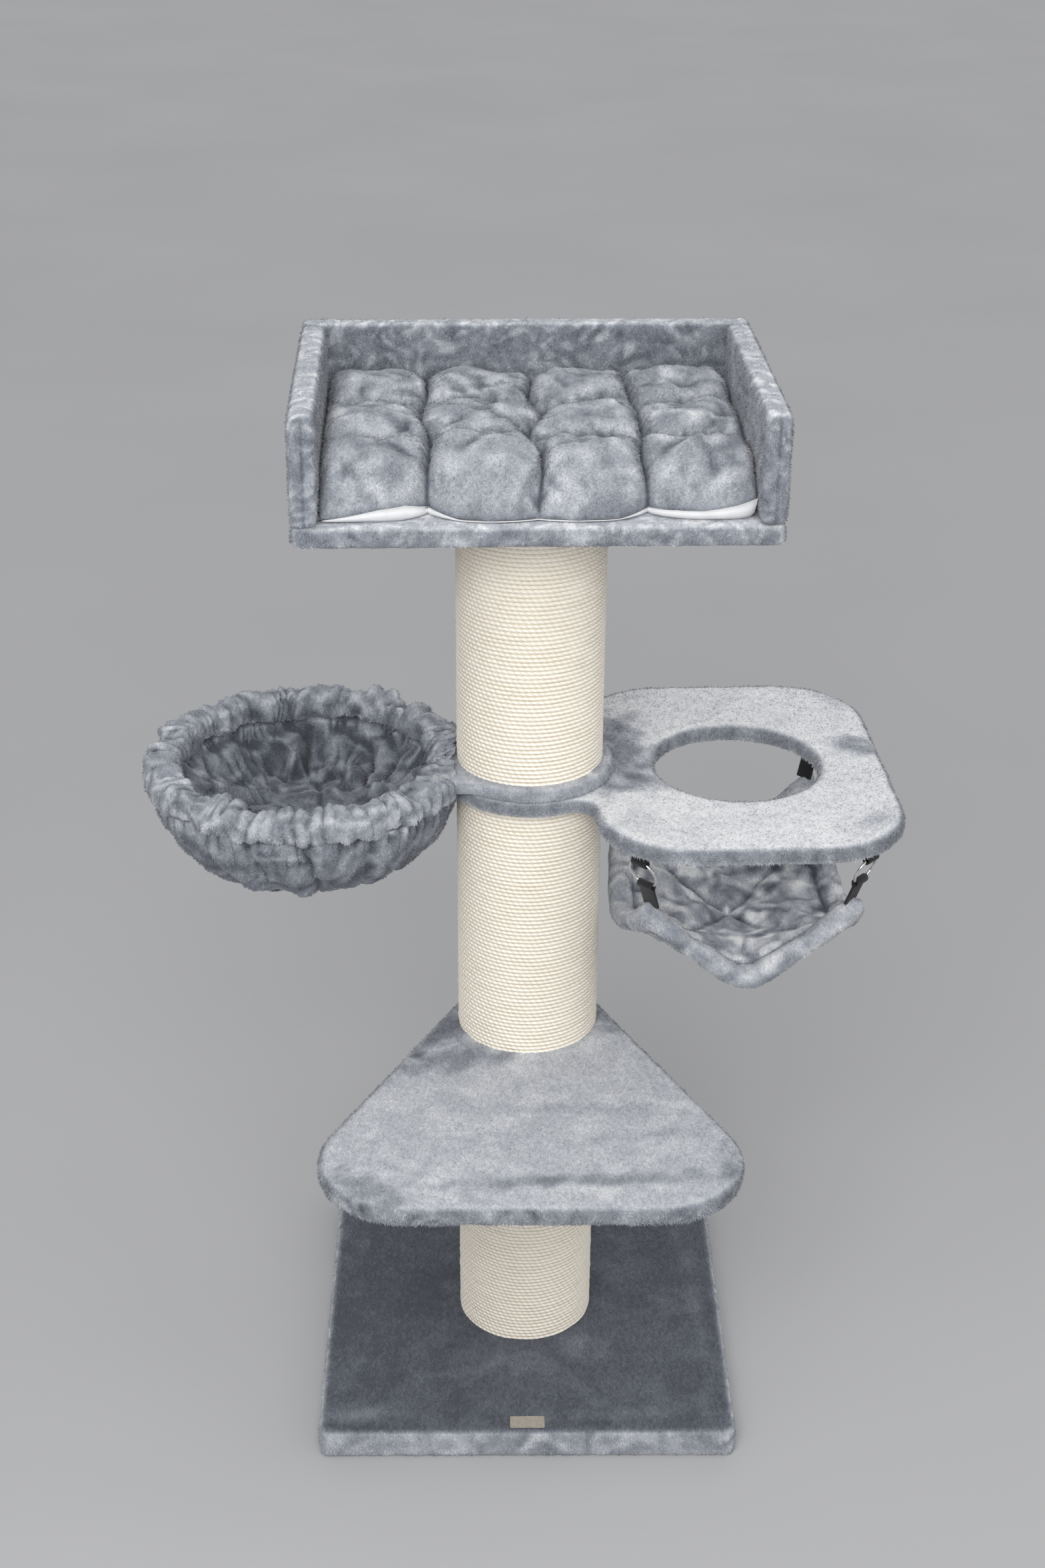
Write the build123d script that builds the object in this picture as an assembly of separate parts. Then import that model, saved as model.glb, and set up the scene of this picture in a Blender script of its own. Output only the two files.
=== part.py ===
from build123d import *

import math
import os

# A cat tree on one thick post: a base, a rounded triangular platform, a holed board with a hammock
# under it, a basket and a bed with a loose quilted cushion. Millimetres, +Z up, +X to the right and
# -Y to the front. The origin is the middle of the base's underside, on the axis of the posts.

# Heights of the stack, from the floor up
BASE_HEIGHT = 45.0
LOWER_POST = 490.0
PLATFORM_HEIGHT = 26.0
MIDDLE_POST = 382.0
ARM_HEIGHT = 20.0
UPPER_POST = 382.0
BED_FLOOR = 26.0
BED_WALL_HEIGHT = 140.0

# Plush glued round the boards
PLUSH = 3.0
PLUSH_ROUND = 7.0
SKIN_GAP = 0.1  # between a board's edge and its plush
SEAT = 0.3  # between a soft or curved piece and what it lies on

# Base
BASE_SIDE = 600.0
BASE_CORNER = 12.0
BASE_HEM = 40.0  # plush turned under the board
HEM_ROUND = 2.0
PLATE_WIDTH = 50.0
PLATE_DEPTH = 24.0
PLATE_THICK = 1.2
PLATE_CORNER = 2.0
PLATE_SETBACK = 9.0  # from the base's front

# Posts: a cardboard tube with a wooden plug in each end, wound with rope
POST_DIAMETER = 200.0
ROPE = 19.4  # the object's rope is 6 mm: it is thicker here, so that no post takes over 24 loops
ROPE_GAP = 0.6  # least room between two loops
ROPE_STEPS = 2  # biarcs in a loop
ROPE_SAMPLES = 36  # points in a loop, where its gap is measured
TUBE_WALL = 8.0
PLUG_HEIGHT = 45.0
PLUG_GAP = 0.2

# Bolts, studs, insert nuts and screws
BOLT_RADIUS = 5.0
BOLT_GAP = 0.5  # round a bolt in a board
NUT_RADIUS = 8.0
NUT_LENGTH = 25.0
NUT_GAP = 0.05
THREAD_GAP = 0.1
BOLT_REACH = 35.0  # into a post
BOLT_ROOM = 5.0  # past the bolt's end
HEAD_ACROSS = 17.0
HEAD_HEIGHT = 6.4
WASHER_RADIUS = 20.0
WASHER_THICK = 2.0
SINK_RADIUS = 22.0  # counterbore round a sunk bolt head
SINK_DEPTH = 16.0
SCREW_RADIUS = 2.2
SCREW_HEAD_RADIUS = 4.6
SCREW_HEAD_HEIGHT = 2.6
SCREW_GAP = 0.1

# Platform: a triangle with one corner round the post
PLATFORM_REACH = 460.0  # from the post's axis to the front edge
PLATFORM_WIDTH = 558.0
PLATFORM_CORNER = 115.0
PLATFORM_LIP = 8.0  # round the post

# Arm plates: both have a disc round the post
ARM_LIP = 15.0
NECK_FILLET = 30.0

# Holed board, turned a little on the post
BOARD_TURN = 2.4
BOARD_WIDTH = 401.0
BOARD_DEPTH = 510.0
BOARD_CORNER = 115.0
BOARD_LAP = 30.0  # of the board over the disc
BOARD_HOLE = 236.0

# Basket: a wooden ring inside the hem of a gathered sack
RING_OUTER = 200.0
RING_WIDTH = 20.0
RING_LAP = 10.0  # of the ring over the disc
RING_FILLET = 55.0
HEM_OUT = 16.0  # the hem stands out from the ring
HEM_DROP = 8.0  # and reaches below its underside
RIM_RISE = 17.0  # and above the arm
RIM_CROWN = 14.0
SACK_OUT = 3.0
SACK_DEPTH = 147.0  # from the arm's underside to the sack's bottom
SACK_WALL = 10.0
CHINE_RADIUS = 150.0  # where the sack's bottom turns up into its side
CHINE_RISE = 46.0
MOUTH_INSET = 8.0  # of the mouth from the ring's inner edge
INNER_CHINE_RADIUS = 128.0
INNER_CHINE_RISE = 42.0

# Hammock's webbing and rings
WEBBING = 24.0
WEBBING_PLY = 2.0
HANG_INSET_X = 48.5  # of the rings from the board's sides
HANG_INSET_Y = 50.0
HANG_DROP = 20.0  # from the board to the middle of the ring's wire
FOOT_LENGTH = 26.0
FOOT_SCREW = 15.0
HANG_RING_RADIUS = 21.0
HANG_WIRE = 4.0
HANG_LEAN = 20.0  # of the rings, inwards
EYE_HALF = 5.4  # half the width of a webbing loop, inside
EYE_NEAR = 2.8  # from the wire's middle to the near end of the loop
EYE_FAR = 11.2
STRAP_LENGTH = 60.0  # before it is cut to the cloth

# Hammock cloth: corners up, middles of the edges down
CLOTH = 20.0
CLOTH_CORNER_IN_X = 6.0  # of its corners from the rings
CLOTH_CORNER_IN_Y = 5.0
CLOTH_SIDE_OUT = 20.0  # of its sagging sides
CORNER_DROP = 77.0  # below the board
SIDE_DROP = 193.0
FRONT_DROP = 206.0
VALLEY_DROP = 218.0
VALLEY_ROUND = 34.0  # half the width of the rounded bottom
CLOTH_SECTIONS = 9
SAG_POWER = 1.6

# Bed, turned a little on the post
BED_TURN = 1.5
BED_WIDTH = 600.0
BED_DEPTH = 440.0
BED_WALL = 32.0
BED_CORNER = 10.0
WALL_PLUSH = 5.0
WALL_ROUND = 8.0
WALL_SCREW_REACH = 40.0  # into a wall's board
BACK_SCREWS = 3
SIDE_SCREWS = 2
SCREW_END = 80.0  # from a wall's end to its first screw

# Cushion: columns along X, rows along Y
COLUMNS = 4
ROWS = 3
CUSHION_HEIGHT = 86.0
CUSHION_ROOM = 3.0  # to the walls
CUSHION_SETBACK = 9.0  # from the bed's front
LINING = 2.0
ROW_SEAM_SHARE = 0.56  # a seam's height over the crown's
COLUMN_SEAM_SHARE = 0.60
EDGE_SHARE = 0.34
SIDE_DRAW = 9.0  # sides drawn in at the seams
SWELL_POWER = 0.7  # under 1 makes a row's crown flatter
ROW_STEPS = 6  # sections in a row

POST_RADIUS = POST_DIAMETER / 2
BASE_TOP = BASE_HEIGHT
PLATFORM_BOTTOM = BASE_TOP + LOWER_POST
PLATFORM_TOP = PLATFORM_BOTTOM + PLATFORM_HEIGHT
BOARD_BOTTOM = PLATFORM_TOP + MIDDLE_POST
BOARD_TOP = BOARD_BOTTOM + ARM_HEIGHT
BASKET_TOP = BOARD_TOP + ARM_HEIGHT
BED_BOTTOM = BASKET_TOP + UPPER_POST
FLOOR_TOP = BED_BOTTOM + BED_FLOOR
BED_TOP = FLOOR_TOP + BED_WALL_HEIGHT

TUBE_RADIUS = POST_RADIUS - ROPE - SEAT
PLUG_RADIUS = TUBE_RADIUS - TUBE_WALL - PLUG_GAP
DISC_RADIUS = POST_RADIUS + ARM_LIP
BOARD_LEFT = DISC_RADIUS - BOARD_LAP
BOARD_X = BOARD_LEFT + BOARD_WIDTH / 2
BASKET_X = -(DISC_RADIUS + RING_OUTER - RING_LAP)
HANG_X = BOARD_WIDTH / 2 - HANG_INSET_X
HANG_Y = BOARD_DEPTH / 2 - HANG_INSET_Y
HANG_Z = BOARD_BOTTOM - HANG_DROP
CORNERS = {
    "front_left": (-1, -1),
    "front_right": (1, -1),
    "back_left": (-1, 1),
    "back_right": (1, 1),
}
UPRIGHT = (Align.CENTER, Align.CENTER, Align.MIN)

parts = {}


def rod(radius, low, high, x=0.0, y=0.0):
    """A solid upright cylinder between two heights."""
    return Pos(x, y, low) * Cylinder(radius, high - low, align=UPRIGHT)


def hex_head(low, high):
    """A bolt's six-sided head between two heights."""
    flat = RegularPolygon(HEAD_ACROSS / 2, 6, major_radius=False)
    return Pos(0, 0, low) * extrude(flat, high - low)


def screw(x, y, head_low, end, room=0.0):
    """A flat-headed wood screw that points up."""
    head = Cone(SCREW_HEAD_RADIUS + room, SCREW_RADIUS + room, SCREW_HEAD_HEIGHT, align=UPRIGHT)
    return Pos(x, y, head_low) * head + rod(SCREW_RADIUS + room, head_low, end, x, y)


def screw_hole(x, y, head_low, end):
    """What such a screw takes out of the pieces it goes through."""
    return screw(x, y, head_low, end + SEAT, SCREW_GAP)


def wrap_plate(outline, z, height):
    """A flat board and the plush round it. outline(margin) draws the plate that much larger."""
    board = extrude(outline(-PLUSH - SKIN_GAP), height - 2 * PLUSH)
    hollow = extrude(outline(-PLUSH), height - 2 * PLUSH)
    skin = extrude(outline(0.0), height)
    levels = skin.faces().sort_by(Axis.Z)
    skin = fillet(levels[0].edges() + levels[-1].edges(), min(PLUSH_ROUND, height / 2 - 1))
    skin -= Pos(0, 0, PLUSH) * hollow
    return Pos(0, 0, z + PLUSH) * board, Pos(0, 0, z) * skin


def wrap_box(length, depth, height):
    """A wall's board and the padded plush round it, standing on the origin."""
    skin = Box(length, depth, height, align=UPRIGHT)
    skin = fillet(skin.edges(), min(WALL_ROUND, depth / 2 - 1))
    hollow = Box(length - 2 * WALL_PLUSH, depth - 2 * WALL_PLUSH, height - 2 * WALL_PLUSH, align=UPRIGHT)
    slack = 2 * (WALL_PLUSH + SKIN_GAP)
    board = Box(length - slack, depth - slack, height - 2 * WALL_PLUSH, align=UPRIGHT)
    rise = Pos(0, 0, WALL_PLUSH)
    return rise * board, skin - rise * hollow


def belt(circles):
    """The outline of a belt round circles (x, y, radius), given counterclockwise."""
    spans = []
    for (x1, y1, r1), (x2, y2, r2) in zip(circles, circles[1:] + circles[:1]):
        along = Vector(x2 - x1, y2 - y1)
        share = (r1 - r2) / along.length
        along = along.normalized()
        normal = along * share + Vector(along.Y, -along.X) * math.sqrt(1 - share**2)
        spans.append((normal, Vector(x1, y1) + normal * r1, Vector(x2, y2) + normal * r2))
    edges = []
    for (x, y, r), before, after in zip(circles, spans[-1:] + spans[:-1], spans):
        middle = Vector(x, y) + (before[0] + after[0]).normalized() * r
        edges.append(Edge.make_three_point_arc(before[2], middle, after[1]))
        edges.append(Edge.make_line(after[1], after[2]))
    return Face(Wire(edges))


def make_base():
    half = BASE_SIDE / 2
    board_side = BASE_SIDE - 2 * (PLUSH + SKIN_GAP)
    board = Pos(0, 0, PLUSH) * extrude(RectangleRounded(board_side, board_side, BASE_CORNER - PLUSH),
                                       BASE_HEIGHT - 2 * PLUSH)
    skin = extrude(RectangleRounded(BASE_SIDE, BASE_SIDE, BASE_CORNER), BASE_HEIGHT)
    levels = skin.faces().sort_by(Axis.Z)
    skin = fillet(levels[-1].edges(), PLUSH_ROUND)
    skin = fillet(skin.faces().sort_by(Axis.Z)[0].edges(), HEM_ROUND)
    hollow_side = BASE_SIDE - 2 * PLUSH
    skin -= Pos(0, 0, PLUSH) * extrude(
        RectangleRounded(hollow_side, hollow_side, BASE_CORNER - PLUSH), BASE_HEIGHT - 2 * PLUSH)
    opening = BASE_SIDE - 2 * (PLUSH + BASE_HEM)
    skin -= Box(opening, opening, 3 * PLUSH)
    sink_top = PLUSH + SINK_DEPTH
    board -= rod(SINK_RADIUS, 0, sink_top)
    board -= rod(BOLT_RADIUS + BOLT_GAP, 0, BASE_HEIGHT)
    skin -= rod(BOLT_RADIUS + BOLT_GAP, sink_top, BASE_HEIGHT)
    head_high = sink_top - WASHER_THICK
    parts["base_board"] = board
    parts["base_plush"] = skin
    parts["base_washer"] = rod(WASHER_RADIUS, head_high, sink_top) - rod(BOLT_RADIUS + BOLT_GAP, 0, sink_top)
    parts["base_bolt"] = hex_head(head_high - HEAD_HEIGHT, head_high) + rod(
        BOLT_RADIUS, head_high, BASE_TOP + BOLT_REACH)
    plate_y = -half + PLATE_SETBACK + PLATE_DEPTH / 2
    plate = RectangleRounded(PLATE_WIDTH, PLATE_DEPTH, PLATE_CORNER)
    parts["blank_plate"] = Pos(0, plate_y, BASE_TOP) * extrude(plate, PLATE_THICK)


def helix(angle, pitch, radius):
    """A point of a helix round Z and the direction there."""
    across, up = radius * math.cos(angle), radius * math.sin(angle)
    point = Vector(across, up, pitch * angle / (2 * math.pi))
    return point, Vector(-up, across, pitch / (2 * math.pi)).normalized()


def biarc(start, start_way, end, end_way):
    """Two arcs that leave start and reach end in the given directions."""
    chord = end - start
    ways = start_way + end_way
    bend = 2 * (1 - start_way.dot(end_way))
    reach = (math.sqrt(chord.dot(ways) ** 2 + bend * chord.dot(chord)) - chord.dot(ways)) / bend
    first, second = start + start_way * reach, end - end_way * reach
    middle = (first + second) * 0.5
    return [Edge.make_tangent_arc(start, start_way, middle),
            Edge.make_tangent_arc(middle, (second - first).normalized(), end)]


def winding(name, low, length):
    """One rope wound round a tube from end to end, as one unbroken tube."""
    radius = POST_RADIUS - ROPE / 2
    end_share = ROPE / (2 * math.pi * radius)  # of a loop, in each straight end
    climb = length - ROPE - 2 * SEAT
    loops = math.floor(climb / (ROPE + ROPE_GAP) - 2 * end_share)
    pitch = climb / (loops + 2 * end_share)
    stations = [helix(2 * math.pi * i / ROPE_STEPS, pitch, radius) for i in range(loops * ROPE_STEPS + 1)]
    first, first_way = stations[0]
    last, last_way = stations[-1]
    edges = [Edge.make_line(first - first_way * ROPE, first)]
    for (start, start_way), (end, end_way) in zip(stations, stations[1:]):
        edges += biarc(start, start_way, end, end_way)
    edges.append(Edge.make_line(last, last + last_way * ROPE))
    route = Wire(edges)
    section = Plane(first - first_way * ROPE, x_dir=(1, 0, 0), z_dir=first_way) * Circle(ROPE / 2)
    rope = Solid.sweep(section.faces()[0], route)
    samples = loops * ROPE_SAMPLES
    points = [route.position_at(i / samples) for i in range(samples + 1)]
    near, far = ROPE_SAMPLES // 2, 2 * ROPE_SAMPLES
    gap = min((a - b).length for i, a in enumerate(points) for b in points[i + near:i + far]) - ROPE
    print(name, "loops", loops, "least gap to itself", round(gap, 2))
    return Pos(0, 0, low + SEAT + ROPE / 2 + pitch * end_share) * rope


def make_post(name, low, length):
    """One post from height low: tube, rope, two plugs. Returns its two insert nuts."""
    high = low + length
    parts[f"{name}_tube"] = rod(TUBE_RADIUS, low, high) - rod(TUBE_RADIUS - TUBE_WALL, low, high)
    parts[f"{name}_sisal"] = winding(f"{name}_sisal", low, length)
    ends = {
        "lower_plug": (low, low + PLUG_HEIGHT, low, low + NUT_LENGTH, low, low + BOLT_REACH + BOLT_ROOM),
        "upper_plug": (high - PLUG_HEIGHT, high, high - NUT_LENGTH, high,
                       high - BOLT_REACH - BOLT_ROOM, high),
    }
    nuts = []
    for end, (plug_low, plug_high, nut_low, nut_high, hole_low, hole_high) in ends.items():
        plug = rod(PLUG_RADIUS, plug_low, plug_high) - rod(NUT_RADIUS + NUT_GAP, nut_low, nut_high)
        parts[f"{name}_{end}"] = plug - rod(BOLT_RADIUS + BOLT_GAP, hole_low, hole_high)
        nuts.append(rod(NUT_RADIUS, nut_low, nut_high) - rod(BOLT_RADIUS + THREAD_GAP, nut_low, nut_high))
    return nuts


def make_platform():
    corner_x = PLATFORM_WIDTH / 2 - PLATFORM_CORNER
    corner_y = PLATFORM_CORNER - PLATFORM_REACH

    def outline(margin):
        corner = PLATFORM_CORNER + margin
        return belt([(-corner_x, corner_y, corner), (corner_x, corner_y, corner),
                     (0, 0, POST_RADIUS + PLATFORM_LIP + margin)])

    bore = rod(BOLT_RADIUS + BOLT_GAP, PLATFORM_BOTTOM, PLATFORM_TOP)
    board, skin = wrap_plate(outline, PLATFORM_BOTTOM, PLATFORM_HEIGHT)
    parts["platform_board"] = board - bore
    parts["platform_plush"] = skin - bore
    parts["platform_stud"] = rod(BOLT_RADIUS, PLATFORM_BOTTOM - BOLT_REACH, PLATFORM_TOP + BOLT_REACH)


def board_outline(margin):
    """The holed board and the disc round the post, in the board's own direction, joined by fillets."""
    panel = Pos(BOARD_X, 0) * RectangleRounded(BOARD_WIDTH + 2 * margin, BOARD_DEPTH + 2 * margin,
                                               BOARD_CORNER + margin)
    straight = BOARD_DEPTH / 2 - BOARD_CORNER  # half of the board's straight left side
    room = (straight**2 - DISC_RADIUS**2 + BOARD_LEFT**2) / (2 * (DISC_RADIUS + BOARD_LEFT))
    radius = min(NECK_FILLET, room)
    disc, left, neck = DISC_RADIUS + margin, BOARD_LEFT - margin, radius - margin
    centre = Vector(left - neck, math.sqrt((disc + neck) ** 2 - (left - neck) ** 2))
    on_disc, on_board = centre * (disc / (disc + neck)), Vector(left, centre.Y)
    inmost = centre + (on_disc + on_board - centre * 2).normalized() * neck
    upper = Edge.make_three_point_arc(on_disc, inmost, on_board)
    below, inside = Vector(left, -centre.Y), Vector(BOARD_X, 0)
    edges = [upper, upper.mirror(Plane.XZ), Edge.make_line(on_board, inside), Edge.make_line(inside, below),
             Edge.make_three_point_arc(on_disc, Vector(-disc, 0), Vector(on_disc.X, -on_disc.Y))]
    return make_face(edges) + panel - Pos(BOARD_X, 0) * Circle(BOARD_HOLE / 2 - margin)


def basket_outline(margin):
    """The disc round the post and the basket's ring, joined by fillets that touch both circles."""
    disc, ring, neck = DISC_RADIUS + margin, RING_OUTER + margin, RING_FILLET - margin
    x = ((disc + neck) ** 2 + BASKET_X**2 - (ring + neck) ** 2) / (2 * BASKET_X)
    centre = Vector(x, math.sqrt((disc + neck) ** 2 - x**2))
    ring_centre = Vector(BASKET_X, 0)
    on_disc = centre * (disc / (disc + neck))
    on_ring = ring_centre + (centre - ring_centre) * (ring / (ring + neck))
    inmost = centre + (on_disc + on_ring - centre * 2).normalized() * neck
    upper = Edge.make_three_point_arc(on_disc, inmost, on_ring)
    edges = [upper, upper.mirror(Plane.XZ),
             Edge.make_three_point_arc(on_disc, Vector(disc, 0), Vector(on_disc.X, -on_disc.Y)),
             Edge.make_three_point_arc(on_ring, Vector(BASKET_X - ring, 0), Vector(on_ring.X, -on_ring.Y))]
    return make_face(edges) - Pos(BASKET_X, 0) * Circle(RING_OUTER - RING_WIDTH - margin)


def make_basket():
    """The basket's arm, its plush at the post, and the gathered sack over the ring."""
    bore = rod(BOLT_RADIUS + BOLT_GAP, BOARD_BOTTOM, BASKET_TOP)
    board, skin = wrap_plate(basket_outline, BOARD_TOP, ARM_HEIGHT)
    hem_radius = RING_OUTER + HEM_OUT
    parts["basket_arm_board"] = board - bore
    hem_room = rod(hem_radius + SEAT, BOARD_TOP, BASKET_TOP, BASKET_X)
    hem_room -= rod(DISC_RADIUS, BOARD_TOP, BASKET_TOP)
    parts["basket_arm_plush"] = skin - bore - hem_room

    mouth = RING_OUTER - RING_WIDTH - MOUTH_INSET
    hem_low = BOARD_TOP - HEM_DROP
    crown = BASKET_TOP + RIM_RISE
    bottom = BOARD_TOP - SACK_DEPTH
    side = RING_OUTER + SACK_OUT

    def bowl(floor, chine_radius, chine_rise, top_radius, top):
        """A bowl's profile: a bottom arc, level on the axis, and a side arc that carries it on."""
        radius = (chine_radius**2 + chine_rise**2) / (2 * chine_rise)
        half = math.asin(chine_radius / radius)
        via = (radius * math.sin(half / 2), floor + radius * (1 - math.cos(half / 2)))
        return [ThreePointArc((0, floor), via, (chine_radius, floor + chine_rise)),
                TangentArc((chine_radius, floor + chine_rise), (top_radius, top),
                           tangent=(math.cos(half), math.sin(half)))]

    inner_top, outer_top = (mouth, hem_low - RIM_CROWN / 4), (side, hem_low - RIM_CROWN / 4)
    edges = bowl(bottom, CHINE_RADIUS, CHINE_RISE, *outer_top)
    edges += bowl(bottom + SACK_WALL, INNER_CHINE_RADIUS, INNER_CHINE_RISE, *inner_top)
    edges.append(Polyline(outer_top, (hem_radius, hem_low), (hem_radius, crown - RIM_CROWN)))
    edges.append(ThreePointArc((hem_radius, crown - RIM_CROWN), ((hem_radius + mouth) / 2, crown),
                               (mouth, crown - RIM_CROWN)))
    edges.append(Line((mouth, crown - RIM_CROWN), inner_top))
    edges.append(Line((0, bottom), (0, bottom + SACK_WALL)))
    profile = Plane.XZ * make_face(edges)
    sack = Pos(BASKET_X, 0, 0) * revolve(profile, Axis.Z)
    pocket = extrude(basket_outline(SEAT - PLUSH), ARM_HEIGHT - 2 * PLUSH + 2 * SEAT)
    sack -= rod(DISC_RADIUS + SEAT, bottom, crown)
    parts["basket_sack"] = sack - Pos(0, 0, BOARD_TOP + PLUSH - SEAT) * pocket


def corner_plane(sx, sy, x, y, z, lean):
    """A plane across a webbing loop: X outwards along the corner's diagonal, Y up, leaning inwards."""
    out = Vector(sx, sy, 0).normalized()
    flat = Plane((x, y, z), x_dir=out, z_dir=(out.Y, -out.X, 0))
    return flat * Rot(0, 0, -lean)


def webbing_loop(up):
    """A loop of webbing round a wire at the origin, open inside; up is 1 for the upper webbing."""
    middle = up * (EYE_NEAR - EYE_FAR) / 2
    length = EYE_NEAR + EYE_FAR
    inside = Pos(0, middle) * SlotOverall(length, 2 * EYE_HALF, rotation=90)
    around = SlotOverall(length + 2 * WEBBING_PLY, 2 * (EYE_HALF + WEBBING_PLY), rotation=90)
    return Pos(0, middle) * around, inside


def make_hammock():
    """The hammock and what carries it, in the board's own direction."""
    screws = []
    drills = []
    lean = math.radians(HANG_LEAN)
    inwards = 2 * HANG_RING_RADIUS * math.sin(lean) / math.sqrt(2)
    thickness = 2 * WEBBING_PLY
    for name, (sx, sy) in CORNERS.items():
        x, y = BOARD_X + sx * HANG_X, sy * HANG_Y
        top = corner_plane(sx, sy, x, y, HANG_Z, 0)
        around, inside = webbing_loop(1)
        tail = Pos(0, (EYE_NEAR + HANG_DROP) / 2) * Rectangle(thickness, HANG_DROP - EYE_NEAR)
        foot = Pos(WEBBING_PLY - FOOT_LENGTH / 2, HANG_DROP - WEBBING_PLY) * Rectangle(FOOT_LENGTH, thickness)
        hanger = extrude(top * (around + tail + foot - inside), WEBBING / 2, both=True)
        screw_x, screw_y = x - sx * FOOT_SCREW / math.sqrt(2), y - sy * FOOT_SCREW / math.sqrt(2)
        head_low = BOARD_BOTTOM - thickness - SCREW_HEAD_HEIGHT
        screws.append(screw(screw_x, screw_y, head_low, BOARD_TOP - 2 * PLUSH))
        drills.append(screw_hole(screw_x, screw_y, head_low, BOARD_TOP - 2 * PLUSH))
        parts[f"hanger_{name}"] = hanger - drills[-1]

        leaning = corner_plane(sx, sy, x, y, HANG_Z, HANG_LEAN)
        hoop = Pos(0, -HANG_RING_RADIUS, 0) * Rot(0, 90, 0) * Torus(HANG_RING_RADIUS, HANG_WIRE / 2)
        parts[f"ring_{name}"] = leaning * hoop

        low = corner_plane(sx, sy, x - sx * inwards, y - sy * inwards,
                           HANG_Z - 2 * HANG_RING_RADIUS * math.cos(lean), HANG_LEAN)
        around, inside = webbing_loop(-1)
        tail = Pos(0, -(EYE_NEAR + STRAP_LENGTH) / 2) * Rectangle(thickness, STRAP_LENGTH - EYE_NEAR)
        strap = extrude(low * (around + tail - inside), WEBBING / 2, both=True)
        parts[f"strap_{name}"] = strap - cloth(SEAT, STRAP_LENGTH)
    parts["hanger_screws"] = Compound(screws)
    parts["hammock_cloth"] = cloth(0.0, 0.0)

    bore = rod(BOLT_RADIUS + BOLT_GAP, BOARD_BOTTOM, BOARD_TOP)
    board, skin = wrap_plate(board_outline, BOARD_BOTTOM, ARM_HEIGHT)
    for drill in drills:
        board -= drill
        skin -= drill
    parts["holed_board"] = board - bore
    parts["holed_board_plush"] = skin - bore


def cloth(raised, deeper):
    """The hammock's padded cloth, a ruled loft from front to back, or a cutter round it."""
    corner_x = HANG_X - CLOTH_CORNER_IN_X
    half_depth = HANG_Y - CLOTH_CORNER_IN_Y
    side_x = HANG_X + CLOTH_SIDE_OUT
    sections = []
    for i in range(CLOTH_SECTIONS):
        share = 2 * i / (CLOTH_SECTIONS - 1) - 1
        out = abs(share) ** SAG_POWER
        half = side_x + (corner_x - side_x) * out
        edge = BOARD_BOTTOM - SIDE_DROP + (SIDE_DROP - CORNER_DROP) * out + raised
        valley = BOARD_BOTTOM - VALLEY_DROP + (VALLEY_DROP - FRONT_DROP) * out + raised
        slope = (edge - valley) / half
        knee = valley + slope * VALLEY_ROUND
        middle = knee - VALLEY_ROUND * math.tan(math.atan(slope) / 2)
        drop = CLOTH / math.cos(math.atan(slope)) + deeper
        upper = [(-half, edge), (-VALLEY_ROUND, knee), (0, middle), (VALLEY_ROUND, knee), (half, edge)]
        lower = [(x, z - drop) for x, z in upper]
        edges = [
            Line(upper[0], upper[1]), ThreePointArc(*upper[1:4]), Line(upper[3], upper[4]),
            Line(upper[4], lower[4]),
            Line(lower[4], lower[3]), ThreePointArc(*lower[3:0:-1]), Line(lower[1], lower[0]),
            Line(lower[0], upper[0]),
        ]
        place = Plane((BOARD_X, share * half_depth, 0), x_dir=(1, 0, 0), z_dir=(0, -1, 0))
        sections.append(place * make_face(edges))
    return loft(sections, ruled=True)


def screw_places(length, count):
    """Evenly spaced places along a wall."""
    step = (length - 2 * SCREW_END) / (count - 1)
    return [SCREW_END - length / 2 + i * step for i in range(count)]


def make_bed():
    """The bed's floor and three walls, in the bed's own direction."""
    half_x, half_y = BED_WIDTH / 2, BED_DEPTH / 2
    side_depth = BED_DEPTH - BED_WALL
    floor_board, floor_skin = wrap_plate(
        lambda margin: RectangleRounded(BED_WIDTH + 2 * margin, BED_DEPTH + 2 * margin, BED_CORNER + margin),
        BED_BOTTOM, BED_FLOOR)
    side_x, side_y, back_y = half_x - BED_WALL / 2, -BED_WALL / 2, half_y - BED_WALL / 2
    walls = {
        "back": (Pos(0, back_y, FLOOR_TOP), BED_WIDTH,
                 [(x, back_y) for x in screw_places(BED_WIDTH, BACK_SCREWS)]),
        "left": (Pos(-side_x, side_y, FLOOR_TOP) * Rot(0, 0, 90), side_depth,
                 [(-side_x, side_y + y) for y in screw_places(side_depth, SIDE_SCREWS)]),
        "right": (Pos(side_x, side_y, FLOOR_TOP) * Rot(0, 0, 90), side_depth,
                  [(side_x, side_y + y) for y in screw_places(side_depth, SIDE_SCREWS)]),
    }
    screws = []
    head_low = BED_BOTTOM + PLUSH
    screw_end = FLOOR_TOP + WALL_PLUSH + WALL_SCREW_REACH
    for name, (place, length, spots) in walls.items():
        board, skin = (place * piece for piece in wrap_box(length, BED_WALL, BED_WALL_HEIGHT))
        for x, y in spots:
            hole = screw_hole(x, y, head_low, screw_end)
            screws.append(screw(x, y, head_low, screw_end))
            board -= hole
            skin -= hole
            floor_skin -= hole
            floor_board -= hole
        parts[f"bed_{name}_board"] = board
        parts[f"bed_{name}_plush"] = skin
    parts["bed_screws"] = Compound(screws)

    head_high = FLOOR_TOP - PLUSH
    head_bottom = head_high - HEAD_HEIGHT
    shank = rod(BOLT_RADIUS, BED_BOTTOM - BOLT_REACH, head_bottom)
    parts["bed_bolt"] = hex_head(head_bottom, head_high) + shank
    bore = rod(BOLT_RADIUS + BOLT_GAP, BED_BOTTOM, head_high)
    recess = rod(HEAD_ACROSS / math.sqrt(3) + BOLT_GAP, head_bottom, head_high)
    parts["bed_floor_board"] = floor_board - bore - recess
    parts["bed_floor_plush"] = floor_skin - bore


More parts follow.
